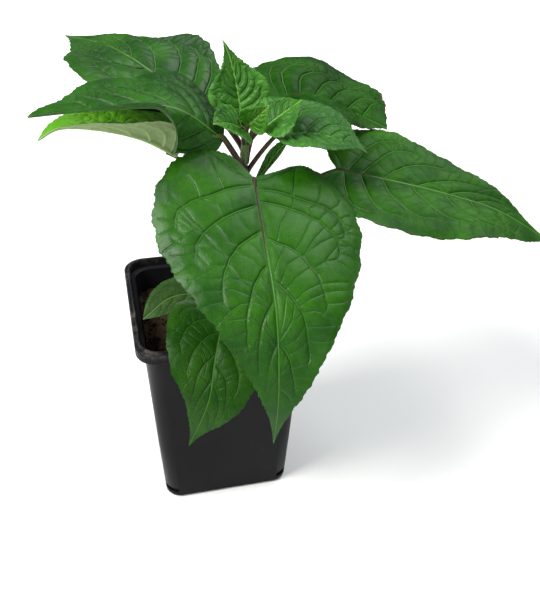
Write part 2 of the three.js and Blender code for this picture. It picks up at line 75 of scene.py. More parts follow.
# Points nearer than this are one; the floor's width and its drop below the pot; all in metres
WELD = 2e-6
FLOOR_WIDTH = 6
FLOOR_DROP = 0.0005

# Outlines of one half of a blade: along from the base, and out from the midrib
OUTLINES = {
    "heart": {
        "fan": 0.36,
        "points": [[0, 0], [-0.07, 0.2], [-0.1, 0.45], [-0.07, 0.72], [0.03, 0.93], [0.17, 1],
            [0.32, 0.95], [0.48, 0.78], [0.62, 0.54], [0.76, 0.3], [0.89, 0.1], [1, 0]],
    },
    "shoulder": {
        "fan": 0.36,
        "points": [[0, 0], [-0.08, 0.22], [-0.12, 0.52], [-0.09, 0.82], [0.01, 1], [0.15, 1.04],
            [0.31, 0.96], [0.48, 0.78], [0.62, 0.54], [0.76, 0.3], [0.89, 0.1], [1, 0]],
    },
    "square": {
        "fan": 0.36,
        "points": [[0, 0], [-0.012, 0.1], [-0.028, 0.25], [-0.044, 0.4], [-0.054, 0.55],
            [-0.042, 0.7], [0.02, 0.87], [0.1, 0.97], [0.21, 1.01], [0.35, 0.95], [0.49, 0.79],
            [0.62, 0.56], [0.76, 0.32], [0.89, 0.1], [1, 0]],
    },
    "broad": {
        "fan": 0.32,
        "points": [[0, 0], [-0.06, 0.3], [-0.04, 0.62], [0.06, 0.88], [0.2, 1], [0.38, 0.97],
            [0.55, 0.85], [0.7, 0.66], [0.83, 0.42], [0.93, 0.2], [1, 0]],
    },
    "oval": {
        "fan": 0.2,
        "points": [[0, 0], [-0.02, 0.3], [0.06, 0.66], [0.22, 0.94], [0.38, 1], [0.56, 0.84],
            [0.74, 0.52], [0.89, 0.2], [1, 0]],
    },
    "spade": {
        "fan": 0.22,
        "points": [[0, 0], [-0.02, 0.22], [0.04, 0.55], [0.14, 0.85], [0.27, 1], [0.42, 0.93],
            [0.56, 0.64], [0.7, 0.34], [0.84, 0.13], [1, 0]],
    },
    "lance": {
        "fan": 0.1,
        "points": [[0, 0], [0.04, 0.25], [0.17, 0.66], [0.36, 0.95], [0.52, 1], [0.7, 0.75],
            [0.87, 0.3], [1, 0]],
    },
}

# Each grade of leaf: side veins of a half, radius of the stalk, size beside a large leaf, height of
# the pillows between the veins, and rows along the margin by columns out from the midrib
GRADES = {
    "large": {"veins": 7, "stalk": 1.4, "size": 1.0, "plump": 1.4, "grid": (190, 48)},
    "medium": {"veins": 6, "stalk": 1.1, "size": 0.72, "plump": 1.0, "grid": (150, 38)},
    "small": {"veins": 5, "stalk": 0.8, "size": 0.45, "plump": 0.6, "grid": (100, 26)},
}

# What a leaf has unless its own entry says otherwise
PLAIN_LEAF = {"share": [1, 1], "lobe": [1, 1], "taper": [0, 0], "bark": "stalk", "young": False}

# The leaves, in millimetres and degrees. Pairs are for the left and right half, seen from above
# with the tip away. A fold is the rise at the midrib and at the margin; where it has no tip_fold it
# stays the same to the tip. A wave is height, count and phase.
LEAVES = {
    "leaf_front": {
        "grade": "large", "finish": "leaf_mature", "bark": "stalk_brown", "plump": 1.0,
        "grid": (290, 72), "width": 94, "outline": ["square", "heart"],
        "stalk_line": [[12, -1, 152], [14, -16, 180], [15, -29, 196]],
        "line": [[15, -29, 196], [14, -56, 180], [13, -84, 160], [11, -100, 131], [9, -102, 104]],
        "face": [0.1, -0.6, 1], "tip_face": [0, -1, 0.35], "fold": [[5, -30], [8, -22]],
        "tip_fold": [[8, -22], [8, -22]], "share": [1.04, 1], "lobe": [1, 1.2], "taper": [0.3, 0.5],
        "wave": [[1.5, 3.1, 0.62], [1.6, 3.3, 0.1]],
    },
    "leaf_low_front": {
        "grade": "medium", "finish": "leaf_shaded", "plump": 0.7, "width": 52,
        "outline": ["heart", "heart"],
        "stalk_line": [[9, 1, 112], [7, -14, 122], [3, -29, 124]],
        "line": [[3, -29, 124], [-4, -46, 127], [-10, -61, 119], [-15, -71, 104], [-25, -71, 78]],
        "face": [0, -0.5, 1], "tip_face": [-0.2, -1, 0.2], "fold": [[10, -15], [10, -15]],
        "share": [1.08, 1], "taper": [-0.3, 0], "wave": [[0.9, 2.6, 0.3], [0.9, 2.4, 0.8]],
    },
    "leaf_low_inner": {
        "grade": "small", "finish": "leaf_olive", "width": 26, "outline": ["broad", "broad"],
        "stalk_line": [[6, 3, 102], [-2, 0, 114]],
        "line": [[-2, 0, 114], [-11, -3, 119], [-25, -8, 121], [-39, -15, 115]],
        "face": [0, -0.4, 1], "fold": [[10, -20], [10, -20]], "lobe": [0.4, 0.4],
        "wave": [[0.3, 2, 0], [0.3, 2, 0.5]],
    },
    "leaf_back_left": {
        "grade": "large", "finish": "leaf_cool", "plump": 1.7, "width": 76,
        "outline": ["oval", "spade"],
        "stalk_line": [[17, 3, 195], [10, 9, 205], [2, 18, 213]],
        "line": [[2, 18, 213], [-16, 30, 221], [-31, 43, 229], [-43, 60, 231], [-61, 78, 231]],
        "face": [0, -0.1, 1], "fold": [[10, 0], [14, 6]], "tip_fold": [[10, 0], [0, -10]],
        "share": [1, 1.05], "wave": [[1, 3.2, 0.35], [1.5, 2.8, 0.9]],
    },
    "leaf_left": {
        "grade": "large", "finish": "leaf_shadow_under", "plump": 1.9, "width": 64,
        "outline": ["oval", "broad"],
        "stalk_line": [[16, -2, 187], [5, -10, 207]],
        "line": [[5, -10, 207], [-17, -15, 225], [-46, -20, 229], [-77, -24, 229]],
        "face": [0, 0.1, 1], "fold": [[-96, -106], [30, 15]], "tip_fold": [[13, 9], [12, 5]],
        "share": [0.62, 1.08], "lobe": [0.3, 0.3], "taper": [0, 0.15], "turn": [0.16, 0.48],
        "wave": [[0.7, 3, 0.4], [1.4, 3.1, 0.15]],
    },
    "leaf_left_lower": {
        "grade": "large", "finish": "leaf_backlit_glow", "width": 54, "outline": ["oval", "broad"],
        "stalk_line": [[12, 1, 150], [4, 4, 170], [-6, 8, 184], [-15, 8, 193]],
        "line": [[-15, 8, 193], [-31, 5, 204], [-50, 0, 212], [-66, -5, 215.5], [-76, -8, 212]],
        "face": [0, 0, 1], "fold": [[60, 50], [40, 8]], "tip_fold": [[15, 10], [10, 0]],
        "share": [0.76, 1], "lobe": [1, 0.6], "taper": [0.8, 0.55],
        "wave": [[0.8, 2.8, 0.2], [0.8, 2.6, 0.6]],
    },
    "leaf_top": {
        "grade": "medium", "finish": "leaf_crown", "plump": 1.5, "young": True, "width": 30,
        "outline": ["spade", "spade"],
        "stalk_line": [[17, 2, 202], [16, 5, 210]],
        "line": [[16, 5, 210], [15, 11, 223], [13, 16, 234], [10, 18, 243]],
        "face": [0, -1, 0.4], "fold": [[20, 5], [20, 5]], "wave": [[0.7, 3, 0.1], [0.7, 3.2, 0.5]],
    },
    "leaf_back_right": {
        "grade": "large", "finish": "leaf_broad", "bark": "stalk_brown", "width": 66,
        "outline": ["broad", "broad"],
        "stalk_line": [[17, 2, 189], [26, 18, 202], [38, 31, 207]],
        "line": [[38, 31, 207], [52, 34, 209], [67, 34, 205], [82, 31, 198], [97, 22, 192]],
        "face": [0, 0, 1], "fold": [[24, 5], [8, -12]], "lobe": [0.6, 1], "taper": [-0.6, 0],
        "wave": [[1.4, 3.4, 0.5], [1, 3, 0.2]],
    },
    "leaf_right": {
        "grade": "medium", "finish": "leaf_painted_sheen", "width": 42, "outline": ["oval", "oval"],
        "stalk_line": [[17, 0, 184], [24, -3, 196], [31, -5, 205]],
        "line": [[31, -5, 205], [47, -9, 206], [62, -14, 203], [72, -17, 198]],
        "face": [0, 0, 1], "fold": [[32, 14], [14, 4]], "tip_fold": [[16, 8], [10, 4]],
        "share": [1.1, 1.2], "wave": [[0.8, 2.6, 0.4], [0.6, 2.8, 0.9]],
    },
    "leaf_right_large": {
        "grade": "large", "finish": "leaf_long", "bark": "stalk_brown", "plump": 1.0, "width": 74,
        "outline": ["shoulder", "broad"],
        "stalk_line": [[12, 0, 142], [37, 0, 168], [62, -4, 184.5]],
        "line": [[62, -4, 184.5], [84, -16, 182.5], [110, -28, 178.5], [134, -39, 172.5], [157, -50, 160]],
        "face": [0, -0.25, 1], "fold": [[10, -5], [0, -8]], "tip_fold": [[12, -5], [12, -5]],
        "share": [0.905, 0.86], "lobe": [0.7, 1], "taper": [0.22, -0.35],
        "wave": [[1.5, 3.2, 0.7], [1.3, 2.9, 0.15]],
    },
    "leaf_right_inner": {
        "grade": "small", "finish": "leaf_crown", "width": 13, "outline": ["lance", "lance"],
        "stalk_line": [[17, 1, 172], [22, 2, 177]],
        "line": [[22, 2, 177], [27, 3, 183], [33, 5, 190], [40, 7, 197], [44, 8, 200]],
        "face": [0, 0, 1], "fold": [[15, 0], [15, 0]], "tip_fold": [[10, 5], [10, 5]],
        "share": [0.75, 0.45], "wave": [[0.4, 2, 0], [0.4, 2, 0.5]],
    },
    "leaf_crown_left": {
        "grade": "small", "finish": "leaf_crown", "plump": 0.9, "young": True, "width": 27,
        "outline": ["broad", "broad"],
        "stalk_line": [[16, -1, 200], [14, -4, 209]],
        "line": [[14, -4, 209], [7, -8, 213.5], [0, -12, 215.5]],
        "face": [0, -0.5, 1], "fold": [[20, 0], [20, 0]], "share": [1, 0.85], "lobe": [0.5, 0.3],
        "wave": [[0.5, 2.4, 0], [0.5, 2.4, 0.5]],
    },
    "leaf_crown_bright": {
        "grade": "small", "finish": "leaf_young", "plump": 1.0, "young": True, "width": 15,
        "outline": ["oval", "oval"],
        "stalk_line": [[17, -1, 204], [17, -6, 211]],
        "line": [[17, -6, 211], [20, -10, 216], [25, -12, 222]],
        "face": [0.2, -0.8, 0.6], "fold": [[20, 0], [20, 0]], "tip_fold": [[30, 0], [30, 0]],
        "wave": [[0.4, 2.4, 0], [0.4, 2.4, 0.5]],
    },
    "leaf_crown_right": {
        "grade": "small", "finish": "leaf_crown", "plump": 1.0, "young": True, "width": 26,
        "outline": ["oval", "oval"],
        "stalk_line": [[18, -1, 200], [24, -6, 210]],
        "line": [[24, -7, 209.6], [32, -7, 215.2], [42, -5, 220.8]],
        "face": [-0.4, -0.4, 0.9], "fold": [[12, 0], [12, 0]], "tip_fold": [[20, 0], [20, 0]],
        "lobe": [0.6, 0.6], "wave": [[0.4, 2.4, 0.2], [0.4, 2.4, 0.7]],
    },
}


def smooth_line(points, share):
    """Points of a smooth curve through the given ones, at even steps from point to point."""
    p = np.asarray(points, float)
    p = np.vstack([2 * p[0] - p[1], p, 2 * p[-1] - p[-2]])
    spans = len(points) - 1
    at = np.clip(np.asarray(share, float), 0, 1) * spans
    i = np.minimum(at.astype(int), spans - 1)
    w = (at - i)[..., None]
    a, b, c, d = p[i], p[i + 1], p[i + 2], p[i + 3]
    return 0.5 * (2 * b + (c - a) * w + (2 * a - 5 * b + 4 * c - d) * w ** 2
                  + (3 * b - a - 3 * c + d) * w ** 3)


def unit(v):
    """The same direction with length one."""
    return v / np.maximum(np.linalg.norm(v, axis=-1, keepdims=True), 1e-12)


def smooth_step(low, high, value):
    s = np.clip((value - low) / (high - low), 0, 1)
    return s * s * (3 - 2 * s)


def mix(a, b, share):
    return a + (b - a) * share


class Midrib:
    """A midrib measured along its length."""

    def __init__(self, points):
        self.points = points
        self.steps = np.linspace(0, 1, 121)
        line = smooth_line(points, self.steps)
        self.lengths = np.concatenate(
            [[0], np.cumsum(np.linalg.norm(np.diff(line, axis=0), axis=1))])
        self.length = self.lengths[-1]

    def at(self, share):
        """Place and direction at a share of the length."""
        place = np.interp(share * self.length, self.lengths, self.steps)
        ahead = smooth_line(self.points, np.minimum(place + 1e-4, 1))
        behind = smooth_line(self.points, np.maximum(place - 1e-4, 0))
        return smooth_line(self.points, place), unit(ahead - behind)


def half_index(side):
    """Which of a pair belongs to this half: side is -1 for the left one and 1 for the right one."""
    return 0 if side < 0 else 1


def place_on_blade(leaf, midrib, x, y, side):
    """Where a point of the flattened blade lies, with the direction off the upper side."""
    k = half_index(side)
    inside = np.clip(x, 0, midrib.length)
    share = inside / midrib.length
    middle, along = midrib.at(share)
    s = share[..., None]
    face = mix(np.array(leaf["face"], float), np.array(leaf["tip_face"], float), s)
    out = unit(np.cross(along, face))
    up = np.cross(out, along)
    half = leaf["width"] / 2 * leaf["share"][k]
    turned = smooth_step(*leaf["turn"], share) if "turn" in leaf else share
    rise = np.radians(mix(leaf["fold"][k][0], leaf["tip_fold"][k][0], turned))
    edge = np.radians(mix(leaf["fold"][k][1], leaf["tip_fold"][k][1], turned))
    bend = (edge - rise) / half
    bend = np.where(np.abs(bend) < 1e-6, 1e-6, bend)
    angle = rise + bend * y
    reach = (np.sin(angle) - np.sin(rise)) / bend
    lift = (np.cos(rise) - np.cos(angle)) / bend
    point = (middle + along * (x - inside)[..., None]
             + out * (side * reach)[..., None] + up * lift[..., None])
    normal = up * np.cos(angle)[..., None] - out * (side * np.sin(angle))[..., None]
    return point, normal


def flatten(leaf, midrib, u, t, side):
    """Flattened blade: u runs round the margin from base to tip, t from midrib to margin."""
    k = half_index(side)
    rim = smooth_line(OUTLINES[leaf["outline"][k]]["points"], u)
    along = np.where(rim[..., 0] < 0, rim[..., 0] * leaf["lobe"][k], rim[..., 0])
    taper = 1 - leaf["taper"][k] * np.maximum(0, along - 0.2)
    scallop = 1 + 0.014 * np.cos(4 * np.pi * leaf["veins"] * u) * np.minimum(1, 6 * u)
    edge_x = along * midrib.length
    edge_y = rim[..., 1] * taper * scallop * (leaf["width"] / 2) * leaf["share"][k]
    late = np.maximum(0, (u - leaf["fan"]) / (1 - leaf["fan"]))
    rib_x = late ** 1.15 * midrib.length
    bend_x = mix(rib_x, edge_x, 0.3)
    far = np.hypot(edge_x - rib_x, edge_y)
    x = (1 - t) ** 2 * rib_x + 2 * t * (1 - t) * bend_x + t * t * edge_x
    y = 2 * t * (1 - t) * 0.7 * edge_y + t * t * edge_y
    room = (np.minimum(1, (rib_x + t * far) / 14)
            * np.minimum(1, np.maximum(edge_y, 0) / (0.2 * leaf["width"])))
    return x, y, room


def margin_wave(leaf, u, t, room, side):
    """How the margin rises and falls, as in the solid."""
    height, waves, phase = leaf["wave"][half_index(side)]
    return height * np.sin(2 * np.pi * (waves * u + phase)) * t * t * room


def cells(x, y, size, seed):
    """Distance to the nearest wall of an uneven honeycomb, as a share of the cell size."""
    gx, gy = x / size, y / size
    ix, iy = np.floor(gx).astype(int), np.floor(gy).astype(int)
    first = np.full(x.shape, 9.0)
    second = np.full(x.shape, 9.0)
    for dx in (-1, 0, 1):
        for dy in (-1, 0, 1):
            cx, cy = ix + dx, iy + dy
            a = np.sin(cx * 127.1 + cy * 311.7 + seed) * 43758.5453
            b = np.sin(cx * 269.5 + cy * 183.3 + seed) * 43758.5453
            px = cx + 0.12 + 0.76 * (a - np.floor(a))
            py = cy + 0.12 + 0.76 * (b - np.floor(b))
            d = np.hypot(px - gx, py - gy)
            second = np.minimum(second, np.maximum(d, first))
            first = np.minimum(first, d)
    return second - first


def ripple(x, y, size, seed):
    """Smooth uneven value between -1 and 1 over the flattened blade."""
    a = np.sin(x / size + seed) + np.sin(y / size * 1.3 + seed * 1.7)
    b = np.sin((x + y) / size * 0.71 + seed * 2.3) + np.sin((x - 1.6 * y) / size * 0.53 + seed)
    return (a + b) / 4


# Where the side veins leave the midrib, as shares of its length, on the first and second half
VEIN_STARTS = {
    "large": ([0.05, 0.12, 0.22, 0.36, 0.50, 0.64, 0.77], [0.04, 0.11, 0.20, 0.33, 0.47, 0.60, 0.73]),
    "medium": ([0.05, 0.16, 0.29, 0.43, 0.57, 0.71], [0.04, 0.13, 0.25, 0.39, 0.54, 0.68]),
    "small": ([0.06, 0.2, 0.36, 0.53, 0.7], [0.05, 0.17, 0.32, 0.48, 0.66]),
    "leaf_top": ([0.05, 0.13, 0.22, 0.31, 0.41, 0.52, 0.63, 0.74],
                 [0.04, 0.11, 0.2, 0.29, 0.39, 0.5, 0.61, 0.72]),
    "leaf_front": ([0.055, 0.095, 0.22, 0.39, 0.61, 0.76],
                   [0.035, 0.105, 0.205, 0.34, 0.465, 0.62, 0.73]),
}


def margin_line(leaf, midrib, side):
    """The outline of one half, from the furthest point of its lobe to the tip."""
    u = np.linspace(0, 1, 160)
    x, y = flatten(leaf, midrib, u, np.ones_like(u), side)[:2]
    first = int(np.argmin(x))
    return np.maximum.accumulate(x[first:]), y[first:]


def vein_lines(name, leaf, midrib, side, seed):
    """Main and small veins of one half as lines on the flattened blade, with their strength."""
    dice = np.random.default_rng(int(seed * 7 + side + 2))
    edge_x, edge_y = margin_line(leaf, midrib, side)
    length = midrib.length
    starts = VEIN_STARTS.get(name, VEIN_STARTS[leaf["grade"]])[half_index(side)]
    way = np.linspace(0, 1, 13)
    main, small, arms = [], [], []

    def sway(line, much):
        shift = dice.normal(0, much, (len(line), 2))
        shift[0] = 0
        return line + shift

    for share in starts:
        share += dice.normal(0, 0.006)
        reach = length * (0.27 - (1.6 if share < 0.3 else 0.95) * (share - 0.3) ** 2)
        apex = share * length + reach
        width = np.interp(apex, edge_x, edge_y)
        out = width * mix(0.84, 0.62, min(1, share / 0.25))
        arm = np.stack([share * length + reach * way, out * (1 - (1 - way) ** 2.8)], 1)
        arm = sway(arm, 0.006 * width)
        arms.append(arm)
        main.append((arm, 1.0, 0.45))
    lobe = -edge_x[0]
    if lobe > 3:
        arm = np.stack([0.02 * length - (0.02 * length + 0.62 * lobe) * way ** 1.4,
                        0.72 * edge_y[0] * way], 1)
        arm = np.stack([arm[:, 0], arm[:, 1] + 0.12 * length * way ** 2 * (edge_y[0] < 5)], 1)
        main.append((sway(arm, 0.2), 0.75, 0.35))

    for number, arm in enumerate(arms):
        after = arms[number + 1] if number + 1 < len(arms) else None
        # From the bow of each vein an arch runs on to a branch of the next one
        tip = arm[-1]
        if after is not None:
            root = after[6]
            meet = tip + [0.035 * length, -0.1 * tip[1]]
            far = np.interp(meet[0] + 4, edge_x, edge_y)
            arch = np.array([arm[-2], tip, (tip + meet) / 2 + [0.4, 0.2], meet])
            foot = np.array([root, (root + meet) / 2 + [-0.8, 0], meet])
            spur = np.array([meet, [meet[0] + 3, mix(meet[1], far, 0.45)],
                             [meet[0] + 5.5, mix(meet[1], far, 0.8)]])
            small.append((sway(arch, 0.2), 0.5, 0.45))
            small.append((sway(foot, 0.25), 0.55, 0.5))
            small.append((sway(spur, 0.3), 0.5, 0.3))
        # Rungs between neighbouring veins, and branches towards the margin
        for at in range(2, 13, 2):
            here = arm[at] + dice.normal(0, 0.5, 2)
            wide = np.interp(here[0] - 2, edge_x, edge_y)
            ahead = unit(arm[at] - arm[at - 1])
            outwards = np.array([-ahead[1], ahead[0]])
            if number == 0 or at > 7:
                room = max(0.0, wide - here[1])
                goal = here + outwards * room * 0.75 + [0.15 * room, 0]
                if room > 2.5:
                    bent = (here + goal) / 2 + dice.normal(0, 0.6, 2)
                    small.append((np.array([here, bent, goal]), 0.6, 0.3))
            if after is not None and at < 11:
                gap = np.hypot(*(after - here).T)
                goal = after[int(np.argmin(gap))]
                if gap.min() > 3:
                    bent = (here + goal) / 2 + dice.normal(0, 0.08 * gap.min() + 0.3, 2)
                    small.append((np.array([here, bent, goal]), 0.42, 0.36))
            elif after is None:
                goal = np.array([here[0] + 2.5, here[1] * 0.25])
                small.append((np.array([here, (here + goal) / 2, goal]), 0.35, 0.3))
    # Young leaves show few veins between the side veins
    if leaf["young"]:
        small = small[::3]
    return main, small


def nearest_line(x, y, lines):
    """Distance to the nearest of the lines, how strong it is there, and on which hand it lies."""
    best = np.full(x.shape, 1e3)
    strength = np.zeros(x.shape)
    hand = np.ones(x.shape)
    for points, first, last in lines:
        count = len(points) - 1
        for i in range(count):
            dx, dy = points[i + 1] - points[i]
            ahead, across = x - points[i][0], y - points[i][1]
            s = np.clip((ahead * dx + across * dy) / max(dx * dx + dy * dy, 1e-6), 0, 1)
            d = np.hypot(ahead - s * dx, across - s * dy)
            closer = d < best
            best = np.where(closer, d, best)
            strength = np.where(closer, mix(first, last, (i + s) / count), strength)
            hand = np.where(closer, np.sign(ahead * dy - across * dx), hand)
    return best, strength, hand


def veins_on_blade(name, leaf, midrib, u, t, side, seed):
    """Where the veins run, how deep they lie, and the pillows between them."""
    size = leaf["size"]
    x, y, room = flatten(leaf, midrib, u, t, side)
    step = np.stack([x[:, -1] - x[:, -4], y[:, -1] - y[:, -4]], -1)
    step = unit(step)[:, None]
    round_rim = u * (2.2 * midrib.length) / size
    tooth = np.sin(round_rim / 1.15 + 2 * np.sin(round_rim / 6.3 + seed))
    tooth = tooth + 0.7 * np.sin(round_rim / 0.52 + seed)
    tooth = 0.3 * size * tooth * smooth_step(0.62, 1, t) * np.minimum(1, 2.5 * room)
    x = x + tooth * step[..., 0]
    y = y + tooth * step[..., 1]
    y[:, 0] = 0
    main, small = vein_lines(name, leaf, midrib, side, seed)
    wx = x + 0.5 * size * ripple(x, y, 3.5 * size, seed + 1)
    wy = y + 0.5 * size * ripple(y, x, 3.5 * size, seed + 2)
    off_main, main_strength, main_hand = nearest_line(wx, wy, main)
    off_small, small_strength, small_hand = nearest_line(wx, wy, small)
    side_vein = main_strength * np.exp(-(off_main / (0.5 * size * (0.55 + 0.45 * main_strength))) ** 2)
    branch = small_strength * np.exp(-(off_small / (0.36 * size)) ** 2)
    share = np.clip(x / midrib.length, 0, 1)
    rib_width = mix(0.95, 0.45, share) * size
    rib = np.exp(-(y / rib_width) ** 2) * smooth_step(-3, 1, x)
    ux = x + 1.6 * size * ripple(x, y, 5 * size, seed + 3)
    uy = y + 1.6 * size * ripple(y, x, 5 * size, seed + 4)
    net = cells(ux, uy, 3.8 * size, seed + 7)
    pillow = 1 - np.exp(-np.minimum(off_main, y + 0.5) / (3.0 * size))
    pillow = pillow * (1 - 0.3 * np.exp(-off_small / (1.0 * size)))
    return {
        "x": x, "y": y, "room": room, "side": side_vein, "branch": branch, "rib": rib,
        "net": 1 - smooth_step(0.0, 0.22, net),
        "pillow": pillow, "dimple": smooth_step(0, 0.6, net),
        "main_off": off_main * main_hand / size, "small_off": off_small * small_hand / size,
        "main_near": main_strength * (1 - smooth_step(1.2, 2.2, off_main / size)),
        "small_near": small_strength * (1 - smooth_step(0.8, 1.6, off_small / size)),
    }


MATERIALS = {}


class Finish:
    """A material under construction: each call adds one node and joins it up."""

    def __init__(self, name, roughness=0.5, **sockets):
        self.material = bpy.data.materials.new(name)
        self.material.use_nodes = True
        self.tree = self.material.node_tree
        self.shader = self.tree.nodes["Principled BSDF"]
        self.shader.inputs["Roughness"].default_value = roughness
        for word, value in sockets.items():
            self.shader.inputs[word.replace("_", " ").title().replace("Ior", "IOR")].default_value = value

    def node(self, kind, inputs=(), **settings):
        made = self.tree.nodes.new(kind)
        for word, value in settings.items():
            setattr(made, word, value)
        for socket, value in dict(inputs).items():
            target = made.inputs[socket]
            if isinstance(value, bpy.types.NodeSocket):
                self.tree.links.new(value, target)
            else:
                target.default_value = value
        return made

    def coords(self):
        return self.node("ShaderNodeTexCoord").outputs["Object"]

    def attribute(self, word, out="Fac"):
        return self.node("ShaderNodeAttribute", attribute_name=word).outputs[out]

    def scaled(self, vector, scale):
        return self.node("ShaderNodeMapping", {"Vector": vector, "Scale": scale}).outputs[0]

    def noise(self, vector, scale, detail=4, roughness=0.55):
        return self.node("ShaderNodeTexNoise", {
            "Vector": vector, "Scale": scale, "Detail": detail, "Roughness": roughness}).outputs["Fac"]

    def voronoi(self, vector, scale, feature="DISTANCE_TO_EDGE"):
        made = self.node("ShaderNodeTexVoronoi", {"Vector": vector, "Scale": scale}, feature=feature)
        return made.outputs["Distance"]

    def ramp(self, value, stops):
        made = self.node("ShaderNodeValToRGB", {"Fac": value})
        while len(made.color_ramp.elements) < len(stops):
            made.color_ramp.elements.new(0.5)
        for element, (place, colour) in zip(made.color_ramp.elements, stops):
            element.position = place
            element.color = (*colour, 1) if not isinstance(colour, float) else (colour,) * 3 + (1,)
        return made.outputs["Color"]

    def math(self, operation, a, b=0.0, clamp=False):
        made = self.node("ShaderNodeMath", {0: a, 1: b}, operation=operation, use_clamp=clamp)
        return made.outputs[0]

    def times(self, a, b):
        return self.math("MULTIPLY", a, b)

    def blend(self, share, a, b):
        made = self.node("ShaderNodeMix", data_type="RGBA")
        for socket, value in ((made.inputs[0], share), (made.inputs[6], a), (made.inputs[7], b)):
            if isinstance(value, bpy.types.NodeSocket):
                self.tree.links.new(value, socket)
            elif isinstance(value, tuple):
                socket.default_value = (*value, 1)
            else:
                socket.default_value = value
        return made.outputs[2]

    def bump(self, height, strength, distance, below=None):
        inputs = {"Height": height, "Strength": strength, "Distance": distance}
        if below is not None:
            inputs["Normal"] = below
        return self.node("ShaderNodeBump", inputs).outputs[0]

    def join(self, socket, value):
        self.tree.links.new(value, self.shader.inputs[socket])

    def keep(self, name):
        MATERIALS[name] = self.material


def darker(colour, share=0.45):
    """A share of a colour; above one it is paler."""
    return tuple(min(1, c * share) for c in colour)


def leaf_finish(name, deep, light, vein, below, rib, gloss=0.2, roughness=0.38,
                brown=0.0, brown_edge=0.0):
    """Satin leaf skin: two greens in soft patches, sunken paler veins with painted shade in their creases
    and along the midrib, and a matt under side.

    brown is how far from the stalk the midrib stays brown, in millimetres.
    """
    f = Finish(name, specular_ior_level=gloss)
    flat = f.attribute("flat", "Vector")
    under = f.attribute("under")
    net = f.attribute("net")
    margin = f.attribute("margin")
    place = f.node("ShaderNodeSeparateXYZ", {0: flat})
    clouds = f.noise(flat, 0.05, 3)
    mottle = f.noise(flat, 0.45, 5, 0.65)
    green = f.blend(f.ramp(clouds, [(0.38, 0.0), (0.64, 1.0)]), deep, light)
    green = f.blend(f.ramp(mottle, [(0.5, 0.0), (0.75, 0.35)]), green, light)
    green = f.blend(f.ramp(mottle, [(0.25, 0.5), (0.48, 0.0)]), green, deep)
    pores = f.voronoi(flat, 0.95)
    green = f.blend(f.ramp(pores, [(0.0, 0.3), (0.14, 0.0)]), green, darker(deep))
    green = f.blend(f.times(net, 0.2), green, darker(deep))

    # Each vein is a pale thread in a crease: the crease is darkened with painted shade and also sinks the
    # bump
    far_main = f.math("ABSOLUTE", f.attribute("main_off"))
    far_small = f.math("ABSOLUTE", f.attribute("small_off"))
    main, small = f.attribute("main_near"), f.attribute("small_near")
    crease_groove_and_shade = f.math("MAXIMUM", f.times(main, f.ramp(far_main, [(0.2, 0.75), (0.8, 0.0)])),
                    f.times(small, f.ramp(far_small, [(0.1, 0.75), (0.5, 0.0)])))
    thread = f.math("MAXIMUM", f.times(main, f.ramp(far_main, [(0.1, 0.7), (0.34, 0.0)])),
                    f.times(small, f.ramp(far_small, [(0.05, 0.5), (0.22, 0.0)])))
    green = f.blend(crease_groove_and_shade, green, darker(deep, 0.5))
    green = f.blend(thread, green, vein)
    edge = f.ramp(margin, [(0.975, 0.0), (1.0, 0.45)])
    green = f.blend(edge, green, darker(deep, 0.5))
    if brown_edge:
        blush = f.times(f.ramp(margin, [(0.9, 0.0), (0.99, brown_edge)]),
                        f.ramp(f.noise(flat, 0.09, 3), [(0.45, 0.0), (0.6, 1.0)]))
        green = f.blend(blush, green, (0.09, 0.055, 0.02))

    # The midrib is a narrow line, brown towards the stalk on the large leaves
    across = f.math("ABSOLUTE", place.outputs["Y"])
    width = f.ramp(f.math("DIVIDE", place.outputs["X"], 140.0, clamp=True), [(0.0, 1.0), (1.0, 0.4)])
    across = f.math("DIVIDE", across, width)
    midrib = f.ramp(across, [(0.3, 0.9), (0.6, 0.0)])
    tone = rib
    if brown:
        run = f.math("DIVIDE", place.outputs["X"], brown, clamp=True)
        tone = f.ramp(run, [(0.0, (0.03, 0.016, 0.008)), (0.72, (0.045, 0.04, 0.01)), (1.0, rib)])
    # Painted shade: a darker green band in the groove along each side of the midrib
    green = f.blend(f.ramp(across, [(0.5, 0.6), (1.1, 0.0)]), green, darker(deep, 0.6))
    green = f.blend(midrib, green, tone)

    pale = f.blend(f.ramp(mottle, [(0.35, 0.0), (0.7, 0.5)]), below, darker(below, 0.8))
    pale = f.blend(f.times(net, 0.35), pale, darker(below, 1.25))
    ribs = f.math("MAXIMUM", f.times(main, f.ramp(far_main, [(0.4, 0.9), (0.8, 0.0)])),
                  f.attribute("rib"))
    pale = f.blend(ribs, pale, darker(below, 1.5))
    f.join("Base Color", f.blend(under, green, pale))
    rough = f.ramp(mottle, [(0.3, roughness - 0.05), (0.7, roughness + 0.07)])
    f.join("Roughness", f.blend(under, rough, (0.62, 0.62, 0.62)))
    fine = f.bump(pores, 0.4, 0.0002)
    grain = f.bump(f.noise(flat, 2.6, 4, 0.65), 0.35, 0.0002, fine)
    sunk = f.math("SUBTRACT", 1.0, f.math("ADD", crease_groove_and_shade, f.times(midrib, 0.4)))
    f.join("Normal", f.bump(sunk, 1.0, 0.00045, grain))
    f.keep(name)


def stalk_finish(name, late, end):
    """Leaf stalk: purple brown at the stem, its own tone where it meets the blade."""
    f = Finish(name, roughness=0.5, specular_ior_level=0.25)
    flat = f.attribute("flat", "Vector")
    streak = f.times(f.noise(f.scaled(flat, (0.05, 1, 1)), 1.5), 0.2)
    f.join("Base Color", f.ramp(f.math("ADD", f.attribute("rib"), streak), [
        (0.1, (0.032, 0.012, 0.010)), (0.42, (0.045, 0.024, 0.013)), (0.75, late), (1.0, end)]))
    f.join("Normal", f.bump(f.noise(f.coords(), 900, 3), 0.3, 0.00012))
    f.keep(name)


